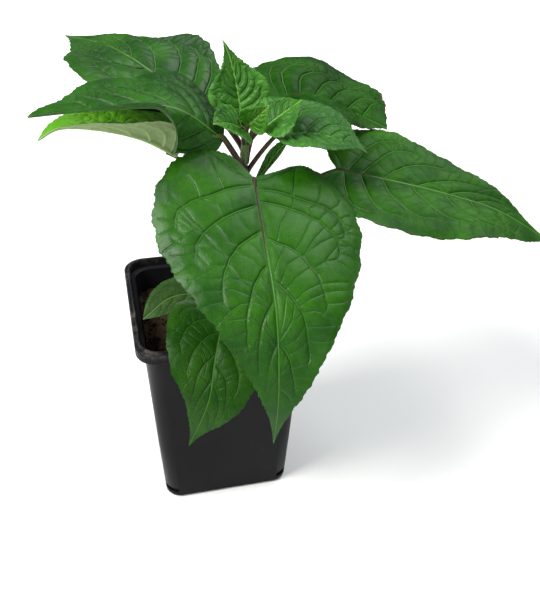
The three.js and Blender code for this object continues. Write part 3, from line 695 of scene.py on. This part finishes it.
def make_materials():
    """All finishes. Greens of a leaf: deep, light, vein, under side and midrib."""
    leaf_finish("leaf_mature", (0.008, 0.066, 0.001), (0.024, 0.124, 0.002), (0.06, 0.20, 0.03),
                (0.12, 0.23, 0.07), (0.055, 0.19, 0.022), gloss=0.22, roughness=0.36, brown=42)
    leaf_finish("leaf_broad", (0.005, 0.044, 0.001), (0.022, 0.108, 0.004), (0.07, 0.20, 0.035),
                (0.13, 0.23, 0.08), (0.065, 0.19, 0.03), gloss=0.07, brown=20, brown_edge=0.4)
    leaf_finish("leaf_cool", (0.006, 0.052, 0.002), (0.028, 0.126, 0.008), (0.08, 0.23, 0.04),
                (0.09, 0.19, 0.05), (0.10, 0.25, 0.05), gloss=0.24, roughness=0.36)
    leaf_finish("leaf_long", (0.008, 0.058, 0.002), (0.029, 0.130, 0.006), (0.085, 0.22, 0.045),
                (0.13, 0.23, 0.08), (0.09, 0.22, 0.045), gloss=0.1, brown=20, brown_edge=0.3)
    # Painted shade: a copy of leaf_cool whose under side is darkened to stand in for the shade under this
    # leaf
    leaf_finish("leaf_shadow_under", (0.006, 0.052, 0.002), (0.024, 0.120, 0.007), (0.08, 0.23, 0.04),
                (0.03, 0.09, 0.014), (0.10, 0.25, 0.05), gloss=0.17)
    # Painted sheen: a lighter copy of leaf_cool, its greens lightened to stand in for the glossy sheen on
    # this leaf
    leaf_finish("leaf_painted_sheen", (0.014, 0.092, 0.006), (0.055, 0.205, 0.024), (0.09, 0.26, 0.045),
                (0.09, 0.19, 0.05), (0.11, 0.27, 0.06), gloss=0.2)
    leaf_finish("leaf_shaded", (0.007, 0.050, 0.001), (0.020, 0.086, 0.003), (0.05, 0.15, 0.018),
                (0.09, 0.18, 0.05), (0.045, 0.14, 0.018), gloss=0.14)
    leaf_finish("leaf_olive", (0.022, 0.072, 0.010), (0.052, 0.125, 0.02), (0.085, 0.16, 0.035),
                (0.12, 0.19, 0.06), (0.10, 0.18, 0.045), roughness=0.5)
    # Painted light: the leaf's own yellow green is brightened to paint light shining through it from
    # behind
    leaf_finish("leaf_backlit_glow", (0.065, 0.26, 0.006), (0.14, 0.40, 0.02), (0.2, 0.46, 0.05),
                (0.25, 0.35, 0.15), (0.26, 0.46, 0.12))
    leaf_finish("leaf_crown", (0.018, 0.11, 0.007), (0.062, 0.235, 0.022), (0.16, 0.38, 0.07),
                (0.14, 0.27, 0.07), (0.17, 0.39, 0.07))
    leaf_finish("leaf_young", (0.030, 0.15, 0.006), (0.090, 0.29, 0.018), (0.22, 0.42, 0.07),
                (0.17, 0.32, 0.06), (0.22, 0.42, 0.07))

    stalk_finish("stalk", (0.05, 0.065, 0.014), (0.06, 0.12, 0.022))
    stalk_finish("stalk_brown", (0.04, 0.026, 0.013), (0.03, 0.018, 0.009))
    stem_finish()
    pot_finish()
    soil_finish()
    floor_finish()


def stem_finish():
    """Bark that goes from brown at the soil to green at the crown, with dark streaks."""
    f = Finish("stem", roughness=0.5, specular_ior_level=0.4)
    place = f.coords()
    streak = f.noise(f.scaled(place, (260, 260, 26)), 1.0, 5)
    height = f.node("ShaderNodeSeparateXYZ", {0: place}).outputs["Z"]
    rise = f.math("MULTIPLY", f.math("SUBTRACT", height, 0.09), 8.5, clamp=True)
    green = f.ramp(rise, [(0.0, (0.11, 0.085, 0.045)), (0.35, (0.12, 0.13, 0.05)),
                          (0.7, (0.10, 0.10, 0.045)), (1.0, (0.09, 0.19, 0.04))])
    tone = f.blend(f.ramp(streak, [(0.45, 0.0), (0.7, 0.7)]), green, (0.06, 0.03, 0.022))
    f.join("Base Color", tone)
    f.join("Normal", f.bump(streak, 0.5, 0.0004))
    f.keep("stem")


def pot_finish():
    """Satin black plastic with haze, fine scuffs round it, dust specks and a worn rim; painted shade
    darkens it towards the foot and painted light lightens it towards the rim.
    """
    f = Finish("pot_plastic", roughness=0.38, specular_ior_level=0.07)
    place = f.coords()
    haze = f.noise(f.scaled(place, (30, 30, 14)), 1.0, 5, 0.6)
    scuff = f.noise(f.scaled(place, (90, 90, 700)), 1.0, 4, 0.7)
    dust = f.noise(place, 60, 6, 0.7)
    height = f.node("ShaderNodeSeparateXYZ", {0: place}).outputs["Z"]
    height = f.math("DIVIDE", height, POT_HEIGHT * MM, clamp=True)
    # Painted shade and light: the plastic darkens towards the foot and lightens towards the rim
    tone = f.ramp(height, [(0.0, (0.002, 0.002, 0.0024)), (0.2, (0.004, 0.004, 0.005)),
                           (0.9, (0.010, 0.010, 0.012))])
    tone = f.blend(f.ramp(haze, [(0.35, 0.0), (0.75, 0.6)]), tone, (0.010, 0.010, 0.012))
    marks = f.times(f.ramp(scuff, [(0.62, 0.0), (0.74, 1.0)]),
                    f.ramp(dust, [(0.45, 0.0), (0.7, 0.55)]))
    tone = f.blend(marks, tone, (0.045, 0.045, 0.048))
    speck = f.ramp(f.voronoi(place, 420, "F1"), [(0.05, 1.0), (0.09, 0.0)])
    speck = f.times(speck, f.ramp(dust, [(0.55, 0.0), (0.62, 0.7)]))
    tone = f.blend(speck, tone, (0.13, 0.11, 0.09))
    wear = f.times(f.ramp(height, [(0.965, 0.0), (0.985, 1.0)]),
                   f.ramp(f.noise(place, 170, 5, 0.75), [(0.5, 0.0), (0.66, 0.75)]))
    tone = f.blend(wear, tone, (0.095, 0.08, 0.07))
    f.join("Base Color", tone)
    rough = f.math("ADD", f.times(haze, 0.28), f.times(marks, 0.2))
    f.join("Roughness", f.math("ADD", rough, 0.24))
    grain = f.bump(f.noise(place, 1600, 2), 0.12, 0.0001)
    f.join("Normal", f.bump(scuff, 0.06, 0.0003, grain))
    f.keep("pot")


def soil_finish():
    """Dark brown earth with paler grit."""
    f = Finish("soil_crumbs", roughness=0.95, specular_ior_level=0.2)
    place = f.coords()
    grit = f.noise(place, 330, 6, 0.7)
    tone = f.ramp(f.noise(place, 85, 5, 0.65), [
        (0.25, (0.010, 0.0065, 0.004)), (0.5, (0.030, 0.018, 0.010)), (0.75, (0.068, 0.042, 0.024))])
    tone = f.blend(f.ramp(grit, [(0.62, 0.0), (0.75, 0.8)]), tone, (0.13, 0.095, 0.06))
    f.join("Base Color", tone)
    f.join("Normal", f.bump(grit, 1.0, 0.0008))
    f.keep("soil")


def floor_finish():
    """Nearly white floor."""
    f = Finish("pale_floor", roughness=0.6, specular_ior_level=0.2)
    f.join("Base Color", f.ramp(f.noise(f.coords(), 2.0, 2), [
        (0.3, (0.93, 0.93, 0.93)), (0.7, (0.95, 0.95, 0.95))]))
    f.keep("floor")


# What the finish reads at each point: distances to the veins are in millimetres on a large leaf
TINTS = ("rib", "net", "margin", "main_off", "main_near", "small_off", "small_near")


def blade_sheets(name, leaf, midrib, side, seed):
    """Upper and under skin of one half as grids of points, with what the finish needs."""
    rows, columns = leaf["grid"]
    size = leaf["size"]
    u = np.repeat(np.linspace(0, 1, rows + 1)[:, None], columns + 1, 1)
    t = np.repeat(np.linspace(0, 1, columns + 1)[None, :], rows + 1, 0)
    v = veins_on_blade(name, leaf, midrib, u, t, side, seed)
    point, normal = place_on_blade(leaf, midrib, v["x"], v["y"], side)
    height = margin_wave(leaf, u, t, v["room"], side)
    shade = v["room"] * smooth_step(0, 0.06, t)
    thick = mix(0.5, 0.24, smooth_step(0.1, 1, t)) * mix(0.8, 1, size)
    ruffle = 0.24 * size * ripple(v["x"], v["y"], 2.6 * size, seed + 9) * smooth_step(0.7, 1, t)
    height = height + ruffle * v["room"]
    veins = np.maximum(v["side"], 0.6 * v["branch"])
    quilt = leaf["plump"] * (v["pillow"] + 0.05 * v["dimple"]) * np.minimum(1, 3.5 * (1 - t) + 0.35)
    top = height + (quilt - 0.5 * size * veins) * shade
    top = top - 0.3 * size * (v["rib"] - 1.25 * v["rib"] ** 4)
    share = np.clip(v["x"] / midrib.length, 0, 1)
    ridge = leaf["stalk"] * mix(1.35, 0.25, share) * v["rib"]
    under = height + (0.85 * quilt - 0.75 * size * veins - 0.12 * size * v["net"]) * shade - ridge - thick
    under = np.minimum(under, top - 0.18)
    flat = np.stack([v["x"], v["y"] * side, np.full_like(u, seed * 10.0)], -1)
    tint = np.stack([v["rib"], v["net"] * shade, t,
                     v["main_off"], v["main_near"] * shade,
                     v["small_off"], v["small_near"] * shade], -1)
    return point + normal * top[..., None], point + normal * under[..., None], flat, tint


def mesh_from(name, points, faces, smooth=True):
    """A new piece from points in millimetres."""
    mesh = bpy.data.meshes.new(name)
    mesh.from_pydata([tuple(p) for p in np.asarray(points) * MM], [], faces)
    mesh.update()
    piece = bpy.data.objects.new(name, mesh)
    bpy.context.collection.objects.link(piece)
    if smooth:
        mesh.polygons.foreach_set("use_smooth", [True] * len(mesh.polygons))
    return piece


def tube(points, radii, sides):
    """Rings of points round a line, and the quads between them, closed at both ends."""
    points = np.asarray(points, float)
    along = unit(np.gradient(points, axis=0))
    up = np.array([0, 0, 1.0]) if abs(along[0][2]) < 0.7 else np.array([1.0, 0, 0])
    angles = np.linspace(0, 2 * np.pi, sides, endpoint=False)
    rings = []
    for place, ahead, radius in zip(points, along, radii):
        up = unit(up - ahead * np.dot(up, ahead))
        side = np.cross(ahead, up)
        rings.append(place + radius * (np.cos(angles)[:, None] * up + np.sin(angles)[:, None] * side))
    count = len(points)
    verts = np.vstack(rings + [points[:1], points[-1:]])
    faces = []
    for i in range(count - 1):
        for k in range(sides):
            m = (k + 1) % sides
            faces.append((i * sides + k, i * sides + m, (i + 1) * sides + m, (i + 1) * sides + k))
    first, last = count * sides, count * sides + 1
    for k in range(sides):
        m = (k + 1) % sides
        faces.append((first, m, k))
        faces.append((last, (count - 1) * sides + k, (count - 1) * sides + m))
    return verts, faces


def give(mesh, word, values):
    """Adds a named value to each point of a mesh, for its finish to read."""
    kind, slot = ("FLOAT_VECTOR", "vector") if values.ndim == 2 else ("FLOAT", "value")
    data = mesh.attributes.new(word, kind, "POINT").data
    data.foreach_set(slot, np.ascontiguousarray(values).ravel())


def add_face(faces, face):
    """Adds a face without its doubled corners, or nothing where it has shrunk to a line."""
    corners = list(dict.fromkeys(int(v) for v in face))
    if len(corners) > 2:
        faces.append(corners)


def leaf_stalk(leaf, midrib):
    """The stalk swells where it leaves the stem and runs into the ridge under the blade."""
    end, ahead = midrib.at(np.array([0.0, 0.07]))
    up = unit(np.cross(np.cross(ahead[0], np.array(leaf["face"], float)), ahead[0]))
    way = np.linspace(0, 1, STALK_STEPS)
    centre = smooth_line([*leaf["stalk_line"], end[1].tolist()], way)
    sunk = np.clip(4 * way - 2.2, 0, 1)
    centre = centre - up * (1.15 * leaf["stalk"] * sunk)[:, None]
    fat = leaf["stalk"] * (mix(1.1, 0.85, way) + 0.4 * np.exp(-(way / 0.05) ** 2))
    fat = fat * (1 - 0.45 * smooth_step(0.5, 0.8, way))
    points, faces = tube(centre, fat, STALK_SIDES)
    length = np.linalg.norm(np.diff(centre, axis=0), axis=1).sum()
    run = np.append(np.repeat(way, STALK_SIDES), [0, 1])
    flats = np.stack([run * length, np.zeros_like(run), np.full_like(run, 3.0)], -1)
    tints = np.stack([run] + [run * 0] * (len(TINTS) - 1), -1)
    return points, faces, flats, tints


def make_leaf(name, values, seed):
    """One leaf: two skins of two halves each, a wall round the margin, and the stalk."""
    leaf = {**GRADES[values["grade"]], **PLAIN_LEAF, "tip_fold": values["fold"],
            "tip_face": values["face"], **values}
    leaf["fan"] = sum(OUTLINES[o]["fan"] for o in leaf["outline"]) / 2
    midrib = Midrib(leaf["line"])
    rows = leaf["grid"][0]
    points, flats, tints, faces = [], [], [], []
    total = 0
    halves = {s: blade_sheets(name, leaf, midrib, s, seed) for s in (-1, 1)}
    fan_rows = int(leaf["fan"] * rows)
    for skin in (0, 1):
        shared = (halves[-1][skin][:, 0] + halves[1][skin][:, 0]) / 2
        index = {}
        for side in (-1, 1):
            grid = halves[side][skin].copy()
            grid[:, 0] = shared
            for part, store in ((grid, points), (halves[side][2], flats), (halves[side][3], tints)):
                store.append(part.reshape(-1, part.shape[-1]))
            ids = total + np.arange(grid[..., 0].size).reshape(grid.shape[:2])
            total += ids.size
            if side == 1:
                ids[:, 0] = index[-1][:, 0]
            ids[: fan_rows + 1, 0] = index[-1][0, 0] if side == 1 else ids[0, 0]
            ids[0, :] = ids[0, 0]
            ids[-1, :] = ids[-1, 0]
            index[side] = ids
            a, b, c, d = ids[:-1, :-1], ids[1:, :-1], ids[1:, 1:], ids[:-1, 1:]
            ring = np.stack([a, d, c, b] if (side > 0) == (skin == 0) else [a, b, c, d], -1)
            for face in ring.reshape(-1, 4).tolist():
                add_face(faces, face)
        if skin == 0:
            upper = index
    for side in (-1, 1):
        a, b = upper[side][:, -1], index[side][:, -1]
        for i in range(rows):
            wall = [a[i], b[i], b[i + 1], a[i + 1]] if side > 0 else [a[i], a[i + 1], b[i + 1], b[i]]
            add_face(faces, wall)
    points, flats, tints = np.vstack(points), np.vstack(flats), np.vstack(tints)
    under = np.zeros(len(points))
    under[len(points) // 2:] = 1
    blade_faces = len(faces)

    stalk, stalk_faces, stalk_flats, stalk_tints = leaf_stalk(leaf, midrib)
    faces += [[v + len(points) for v in face] for face in stalk_faces]
    points = np.vstack([points, stalk])
    flats = np.vstack([flats, stalk_flats])
    tints = np.vstack([tints, stalk_tints])
    under = np.append(under, np.zeros(len(stalk)))

    piece = mesh_from(name + "_blade", points, faces)
    mesh = piece.data
    give(mesh, "flat", flats)
    for k, word in enumerate(TINTS):
        give(mesh, word, tints[:, k])
    give(mesh, "under", under)
    mesh.materials.append(MATERIALS[leaf["finish"]])
    mesh.materials.append(MATERIALS[leaf["bark"]])
    slots = np.zeros(len(faces), int)
    slots[blade_faces:] = 1
    mesh.polygons.foreach_set("material_index", slots)
    weld(mesh)
    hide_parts(name)
    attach(piece, "root")


def weld(mesh, turn_out=False):
    """Drops loose points and merges doubles, so that the skin is closed."""
    work = bmesh.new()
    work.from_mesh(mesh)
    loose = [v for v in work.verts if not v.link_faces]
    bmesh.ops.delete(work, geom=loose, context="VERTS")
    bmesh.ops.remove_doubles(work, verts=work.verts, dist=WELD)
    if turn_out:
        bmesh.ops.recalc_face_normals(work, faces=work.faces)
    work.to_mesh(mesh)
    work.free()


def start_alone():
    """Nothing is selected any more."""
    for piece in bpy.context.selected_objects:
        piece.select_set(False)


def edit(kind):
    """Opens the active piece with all its points or faces selected."""
    bpy.ops.object.mode_set(mode="EDIT")
    bpy.ops.mesh.select_mode(type=kind)
    bpy.ops.mesh.select_all(action="SELECT")


def leave_edit():
    bpy.ops.object.mode_set(mode="OBJECT")


def settle(piece, name):
    """Names a finished piece, and moves its place into its mesh."""
    start_alone()
    piece.select_set(True)
    bpy.context.view_layer.objects.active = piece
    bpy.ops.object.transform_apply(location=True, rotation=True, scale=True)
    piece.name = name
    piece.data.name = name


def use_modifier(piece, kind, **settings):
    """Adds a modifier and applies it."""
    bpy.context.view_layer.objects.active = piece
    made = piece.modifiers.new(kind.lower(), kind)
    for word, value in settings.items():
        setattr(made, word, value)
    bpy.ops.object.modifier_apply(modifier=made.name)


def pot_width(z):
    """Width of the tapered wall at a height, outside."""
    return mix(POT_FOOT_WIDTH, POT_NECK_WIDTH, (z - 1.2) / (POT_HEIGHT - BAND_HEIGHT - 1.2))


def cut_out(piece, cutter):
    """Cuts one piece out of another and takes the cutter away."""
    use_modifier(piece, "BOOLEAN", operation="DIFFERENCE", solver="EXACT", object=cutter)
    bpy.data.objects.remove(cutter)


def make_pot():
    """The pot is drawn up from its foot, over the rim and down inside to its floor.

    The profile holds the width across and the height of each step.
    """
    neck = POT_HEIGHT - BAND_HEIGHT
    inside = -2 * POT_WALL
    profile = [
        (70.6, 0.9), (pot_width(40), 40), (pot_width(75), 75),
        (POT_NECK_WIDTH, neck), (89.2, neck), (POT_TOP_WIDTH, neck + 0.5), (POT_TOP_WIDTH, 113.5),
        (88.8, 114.2), (86.6, 114.2), (85.8, POT_HEIGHT), (84.6, POT_HEIGHT), (83.8, 113.8),
        (83.4, 110.1),
        (POT_NECK_WIDTH + inside, 109.5), (pot_width(60) + inside, 60),
        (pot_width(POT_FLOOR) + inside, POT_FLOOR),
    ]
    start_alone()
    foot = 69.0
    bpy.ops.mesh.primitive_plane_add(size=foot * MM, location=(0, 0, 0))
    pot = bpy.context.object
    edit("VERT")
    bpy.ops.mesh.bevel(offset=8.2 * MM, segments=9, affect="VERTICES")
    bpy.ops.mesh.select_mode(type="FACE")
    bpy.ops.mesh.select_all(action="SELECT")
    last, height = foot, 0.0
    for wide, z in profile:
        bpy.ops.mesh.extrude_region_move(TRANSFORM_OT_translate={"value": (0, 0, (z - height) * MM)})
        share = wide / last
        bpy.ops.transform.resize(value=(share, share, 1), center_override=(0, 0, z * MM))
        last, height = wide, z
    bpy.ops.mesh.select_all(action="SELECT")
    bpy.ops.mesh.normals_make_consistent(inside=False)
    leave_edit()
    for x in (-DRAIN_OFFSET, DRAIN_OFFSET):
        for y in (-DRAIN_OFFSET, DRAIN_OFFSET):
            start_alone()
            bpy.ops.mesh.primitive_cylinder_add(
                vertices=DRAIN_SIDES, radius=DRAIN_RADIUS * MM, depth=8 * MM,
                location=(x * MM, y * MM, 0))
            cut_out(pot, bpy.context.object)
    slot_height = 5.4
    reach = pot_width(slot_height) / 2 - 2.4
    for quarter in range(4):
        turn = math.pi / 4 + quarter * math.pi / 2
        start_alone()
        x = reach * math.copysign(MM, math.cos(turn))
        y = reach * math.copysign(MM, math.sin(turn))
        bpy.ops.mesh.primitive_cube_add(size=1, rotation=(0, 0, turn), location=(x, y, slot_height * MM))
        slot = bpy.context.object
        slot.scale = (7 * MM, 9 * MM, 3.2 * MM)
        cut_out(pot, slot)
    use_modifier(pot, "BEVEL", width=0.3 * MM, segments=3, limit_method="ANGLE", angle_limit=0.5)
    settle(pot, "pot_shell")
    bpy.ops.object.shade_smooth_by_angle(angle=0.6)
    pot.data.materials.append(MATERIALS["pot"])
    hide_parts("pot")
    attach(pot, "root")


def rounded_square(angle, half, corner):
    """How far out a square with round corners reaches in one direction."""
    c, s = np.abs(np.cos(angle)), np.abs(np.sin(angle))
    flat = half / np.maximum(c, s)
    k = half - corner
    dot = k * (c + s)
    under = np.maximum(dot ** 2 - 2 * k * k + corner ** 2, 0)
    arc = dot + np.sqrt(under)
    low = np.minimum(c, s) * flat
    return np.where(low > k, arc, flat)


def soil_top(x, y):
    """Height of the soil with its broad lumps, near to that of the solid."""
    lump = np.sin(x * 0.21 + 1.3) * np.cos(y * 0.17 - 0.4)
    crumb = np.sin(x * 0.83 + y * 0.47) * np.cos(y * 0.91 - x * 0.39)
    return SOIL_TOP + 0.7 * lump + 0.6 * crumb


def make_soil():
    """A block with an uneven top of lumps and pits, and the crumbs that lie on it."""
    inside = 2 * POT_WALL + 2 * SOIL_GAP
    spokes, rings = SOIL_SPOKES, SOIL_RINGS
    angle = np.linspace(0, 2 * np.pi, spokes, endpoint=False)
    half = (pot_width(SOIL_TOP) - inside) / 2
    out = rounded_square(angle, half, 8.3)
    share = np.linspace(0, 1, rings + 1)[1:] ** 0.8
    x = (out * share[:, None] * np.cos(angle)).ravel()
    y = (out * share[:, None] * np.sin(angle)).ravel()
    z = soil_top(x, y)
    rough = np.array([
        noise.fractal(Vector((a * 0.16, b * 0.16, 3.1)), 0.7, 2.1, 6) for a, b in zip(x, y)])
    grit = np.array([noise.noise(Vector((a * 1.1, b * 1.1, 7.7))) for a, b in zip(x, y)])
    stem_foot = smooth_line(STEM_LINE, STEM_FOOT)
    near = np.exp(-((x - stem_foot[0]) ** 2 + (y - stem_foot[1]) ** 2) / 60)
    z = z + 1.1 * rough + 0.45 * grit + 1.0 * near
    points = np.vstack([[[0, 0, soil_top(np.zeros(1), np.zeros(1))[0]]], np.stack([x, y, z], 1)])
    faces = [(0, 1 + k, 1 + (k + 1) % spokes) for k in range(spokes)]
    for i in range(rings - 1):
        for k in range(spokes):
            a, b = 1 + i * spokes + k, 1 + i * spokes + (k + 1) % spokes
            faces.append((a, a + spokes, b + spokes, b))
    low = POT_FLOOR + SOIL_GAP
    foot = rounded_square(angle, (pot_width(low) - inside) / 2, 7)
    wall = np.stack([foot * np.cos(angle), foot * np.sin(angle), np.full(spokes, low)], 1)
    top, base = 1 + (rings - 1) * spokes, len(points)
    points = np.vstack([points, wall])
    for k in range(spokes):
        m = (k + 1) % spokes
        faces.append((top + k, base + k, base + m, top + m))
    faces.append(tuple(base + k for k in range(spokes))[::-1])
    bed = mesh_from("soil_bed", points, faces)
    bed.data.materials.append(MATERIALS["soil"])
    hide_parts("soil")
    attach(bed, "root")
    scatter_crumbs(half, stem_foot)


def scatter_crumbs(half, stem_foot):
    """Loose crumbs of four sizes over the bed, in one piece, none of them against the stem."""
    start_alone()
    bpy.ops.mesh.primitive_ico_sphere_add(subdivisions=2, radius=1, location=(0, 0, 0))
    crumb = bpy.context.object
    base = np.array([v.co[:] for v in crumb.data.vertices])
    tris = np.array([f.vertices[:] for f in crumb.data.polygons])
    bpy.data.objects.remove(crumb)
    dice = np.random.default_rng(4)
    points, faces = [], []
    for number in range(CRUMB_COUNT):
        a, r = dice.uniform(0, 2 * np.pi), dice.uniform(0, 1) ** 0.5
        reach = rounded_square(np.array(a), half - 2.2, 7.0) * r
        cx, cy = reach * math.cos(a), reach * math.sin(a)
        if math.hypot(cx - stem_foot[0], cy - stem_foot[1]) < 4.5:
            continue
        big = dice.choice([0.45, 0.7, 1.1, 1.7], p=[0.4, 0.32, 0.2, 0.08])
        shape = base * (1 + 0.21 * dice.standard_normal((len(base), 1)).clip(-1, 1))
        shape = shape * dice.uniform(0.7, 1.25, 3) * big
        turn = Matrix.Rotation(dice.uniform(0, 6.28), 3, dice.standard_normal(3))
        shape = shape @ np.array(turn)
        cz = soil_top(np.array(cx), np.array(cy)) + 0.35 * big
        faces.append(tris + len(points) * len(base))
        points.append(shape + [cx, cy, cz + dice.uniform(0, 0.8)])
    crumbs = mesh_from("soil_crumb_layer", np.vstack(points), np.vstack(faces).tolist(), smooth=False)
    crumbs.data.materials.append(MATERIALS["soil"])
    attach(crumbs, "root")


def make_stem():
    """A tapered, lightly fluted rod that swells at its joints."""
    way = np.linspace(0, 1, STEM_STEPS)
    centre = smooth_line(STEM_LINE, way)
    knots = sum(np.exp(-((way - at) / 0.012) ** 2) for at in STEM_KNOTS)
    tip = np.sqrt(np.clip((1 - way) / 0.03, 0.12, 1))
    radius = (mix(STEM_BASE_RADIUS, STEM_TOP_RADIUS, way) + 0.35 * knots) * tip
    points, faces = tube(centre, radius, STEM_SIDES)
    body = points[:-2].reshape(len(way), STEM_SIDES, 3)
    angle = np.linspace(0, 2 * np.pi, STEM_SIDES, endpoint=False)
    flute = 0.10 * np.cos(5 * angle + 1.5 * way[:, None]) + 0.06 * ripple(
        angle * 3, way[:, None] * 90, 1.3, 2.0)
    outwards = unit(body - centre[:, None])
    body += outwards * (flute * np.minimum(1, radius / 2)[:, None])[..., None]
    stem = mesh_from("stem_skin", points, faces)
    stem.data.materials.append(MATERIALS["stem"])
    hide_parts("stem")
    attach(stem, "root")


def make_crown_bud():
    """Tiny crumpled leaves that stand round the tip of the stem."""
    tip = smooth_line(STEM_LINE, 1.0)
    rows, columns = BUD_ROWS, BUD_COLUMNS
    for number in range(BUD_LEAVES):
        turn = math.radians(70 + number * BUD_TURN)
        outer = number / (BUD_LEAVES - 1)
        lean = mix(0.25, 0.95, outer)
        long = mix(7.0, 12.5, outer)
        wide = long * 0.3
        u = np.linspace(0, 1, rows + 1)[:, None] * np.ones((1, 2 * columns + 1))
        v = np.linspace(-1, 1, 2 * columns + 1)[None, :] * np.ones((rows + 1, 1))
        shape = np.sin(np.pi * u ** 0.8) ** 0.75 * (1 - 0.35 * u)
        along = u * long
        across = v * shape * wide
        crinkle = 0.45 * np.abs(np.sin(u * 19 + 2.5 * np.abs(v))) * shape * np.abs(v) ** 0.6
        curl = 0.9 * v * v * shape + 0.6 * np.sin(u * 13 + number) * v ** 2 * shape
        rise = curl + crinkle + 0.25 * ripple(along, across, 0.5, number)
        bend = lean * (0.35 + 0.9 * u)
        out = np.cumsum(np.sin(bend) * long / rows, axis=0)
        up = np.cumsum(np.cos(bend) * long / rows, axis=0)
        side = np.array([-math.sin(turn), math.cos(turn), 0])
        away = np.array([math.cos(turn), math.sin(turn), 0])
        skins = []
        for shift in (0.0, -BUD_THICKNESS):
            lift = rise + shift
            point = (tip - [0, 0, 2.5] + away * (out - lift * np.cos(bend))[..., None]
                     + np.array([0, 0, 1.0]) * (up + lift * np.sin(bend))[..., None]
                     + side * across[..., None])
            skins.append(point.reshape(-1, 3))
        count = len(skins[0])
        wide_row = 2 * columns + 1
        faces = []
        for i in range(rows):
            for j in range(2 * columns):
                a = i * wide_row + j
                faces.append((a, a + wide_row, a + wide_row + 1, a + 1))
                faces.append(tuple(count + k for k in (a, a + 1, a + wide_row + 1, a + wide_row)))
        ring = list(range(wide_row))
        ring += [i * wide_row + wide_row - 1 for i in range(1, rows + 1)]
        ring += [rows * wide_row + j for j in range(wide_row - 2, -1, -1)]
        ring += [i * wide_row for i in range(rows - 1, 0, -1)]
        for a, b in zip(ring, ring[1:] + ring[:1]):
            faces.append((a, b, b + count, a + count))
        leaflet = mesh_from(f"crown_leaflet_{number + 1}", np.vstack(skins), faces)
        mesh = leaflet.data
        flat = np.stack([along, across, np.full_like(u, number * 5.0)], -1).reshape(-1, 3)
        give(mesh, "flat", np.vstack([flat, flat]))
        line = np.exp(-(across / 0.35) ** 2).ravel()
        # The crinkle valleys stand in for veins, so the finish paints shade in them with a pale thread
        folds = 0.9 * np.abs(np.sin(u * 19 + 2.5 * np.abs(v)))
        values = {"rib": line, "margin": np.abs(v).ravel(), "main_off": folds.ravel(),
                  "main_near": np.full(line.shape, 0.8)}
        for word, value in values.items():
            give(mesh, word, np.concatenate([value, value]))
        give(mesh, "under", np.concatenate([np.zeros(count), np.ones(count)]))
        mesh.materials.append(MATERIALS["leaf_young"])
        weld(mesh, turn_out=True)
        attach(leaflet, "root")


def make_stage():
    """The floor, a dim sky and four soft lamps."""
    start_alone()
    bpy.ops.mesh.primitive_plane_add(size=FLOOR_WIDTH, location=(0, 0, -FLOOR_DROP))
    floor = bpy.context.object
    floor.name = "floor"
    floor.data.materials.append(MATERIALS["floor"])

    world = bpy.data.worlds.new("studio")
    bpy.context.scene.world = world
    world.use_nodes = True
    sky = world.node_tree.nodes["Background"]
    sky.inputs["Color"].default_value = (0.97, 0.985, 1.0, 1)
    sky.inputs["Strength"].default_value = 0.22
    # Each lamp: place and goal in metres, size, power and colour. The last one whitens the far floor
    lamps = (
        ("key", (-0.95, -0.25, 1.2), (0, 0, 0.14), 0.7, 32, (1.0, 0.985, 0.95)),
        ("sky", (0.75, 0.35, 1.3), (0, 0, 0.14), 1.1, 15, (0.96, 0.98, 1.0)),
        ("fill", (0.35, -1.3, 0.75), (0, 0, 0.14), 0.9, 4, (0.97, 0.98, 1.0)),
        ("backdrop", (0.1, 0.8, 0.9), (0.4, 2.6, 0), 1.2, 22, (1.0, 1.0, 1.0)),
    )
    for name, place, goal, size, power, colour in lamps:
        light = bpy.data.lights.new(name, "AREA")
        light.size = size
        light.energy = power
        light.color = colour
        lamp = bpy.data.objects.new(name, light)
        lamp.location = place
        aim = Vector(goal) - Vector(place)
        lamp.rotation_euler = aim.to_track_quat("-Z", "Y").to_euler()
        bpy.context.collection.objects.link(lamp)


def make_camera():
    """The camera at the photograph's place, with its turn, rise and roll."""
    turn, rise, roll = (math.radians(v) for v in (CAMERA_TURN, CAMERA_RISE, CAMERA_ROLL))
    back = Vector((math.sin(turn) * math.cos(rise), -math.cos(turn) * math.cos(rise), math.sin(rise)))
    right = Vector((0, 0, 1)).cross(back).normalized()
    up = back.cross(right)
    x = right * math.cos(roll) + up * math.sin(roll)
    y = up * math.cos(roll) - right * math.sin(roll)
    lens = bpy.data.cameras.new("camera")
    lens.sensor_fit = "VERTICAL"
    lens.sensor_height = SENSOR_HEIGHT
    lens.lens = CAMERA_FOCUS * SENSOR_HEIGHT / PHOTO_HEIGHT
    lens.clip_start = 0.01
    camera = bpy.data.objects.new("camera", lens)
    frame = Matrix((x, y, back)).transposed().to_4x4()
    frame.translation = Vector(CAMERA_PLACE) * MM
    camera.matrix_world = frame
    bpy.context.collection.objects.link(camera)
    bpy.context.scene.camera = camera
    bpy.context.scene.view_settings.view_transform = "Standard"


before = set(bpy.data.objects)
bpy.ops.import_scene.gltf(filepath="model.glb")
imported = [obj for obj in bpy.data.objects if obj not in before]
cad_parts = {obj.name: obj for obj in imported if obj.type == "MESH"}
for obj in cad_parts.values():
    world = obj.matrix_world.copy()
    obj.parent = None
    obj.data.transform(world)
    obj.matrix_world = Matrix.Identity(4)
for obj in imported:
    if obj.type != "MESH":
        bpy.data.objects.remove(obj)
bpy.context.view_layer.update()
make_camera()
make_materials()
make_pot()
make_soil()
make_stem()
# The place of a leaf in the table sets its random draws
for order, (leaf_name, leaf_values) in enumerate(LEAVES.items()):
    make_leaf(leaf_name, leaf_values, 1.0 + order)
make_crown_bud()
make_stage()

bpy.context.view_layer.update()
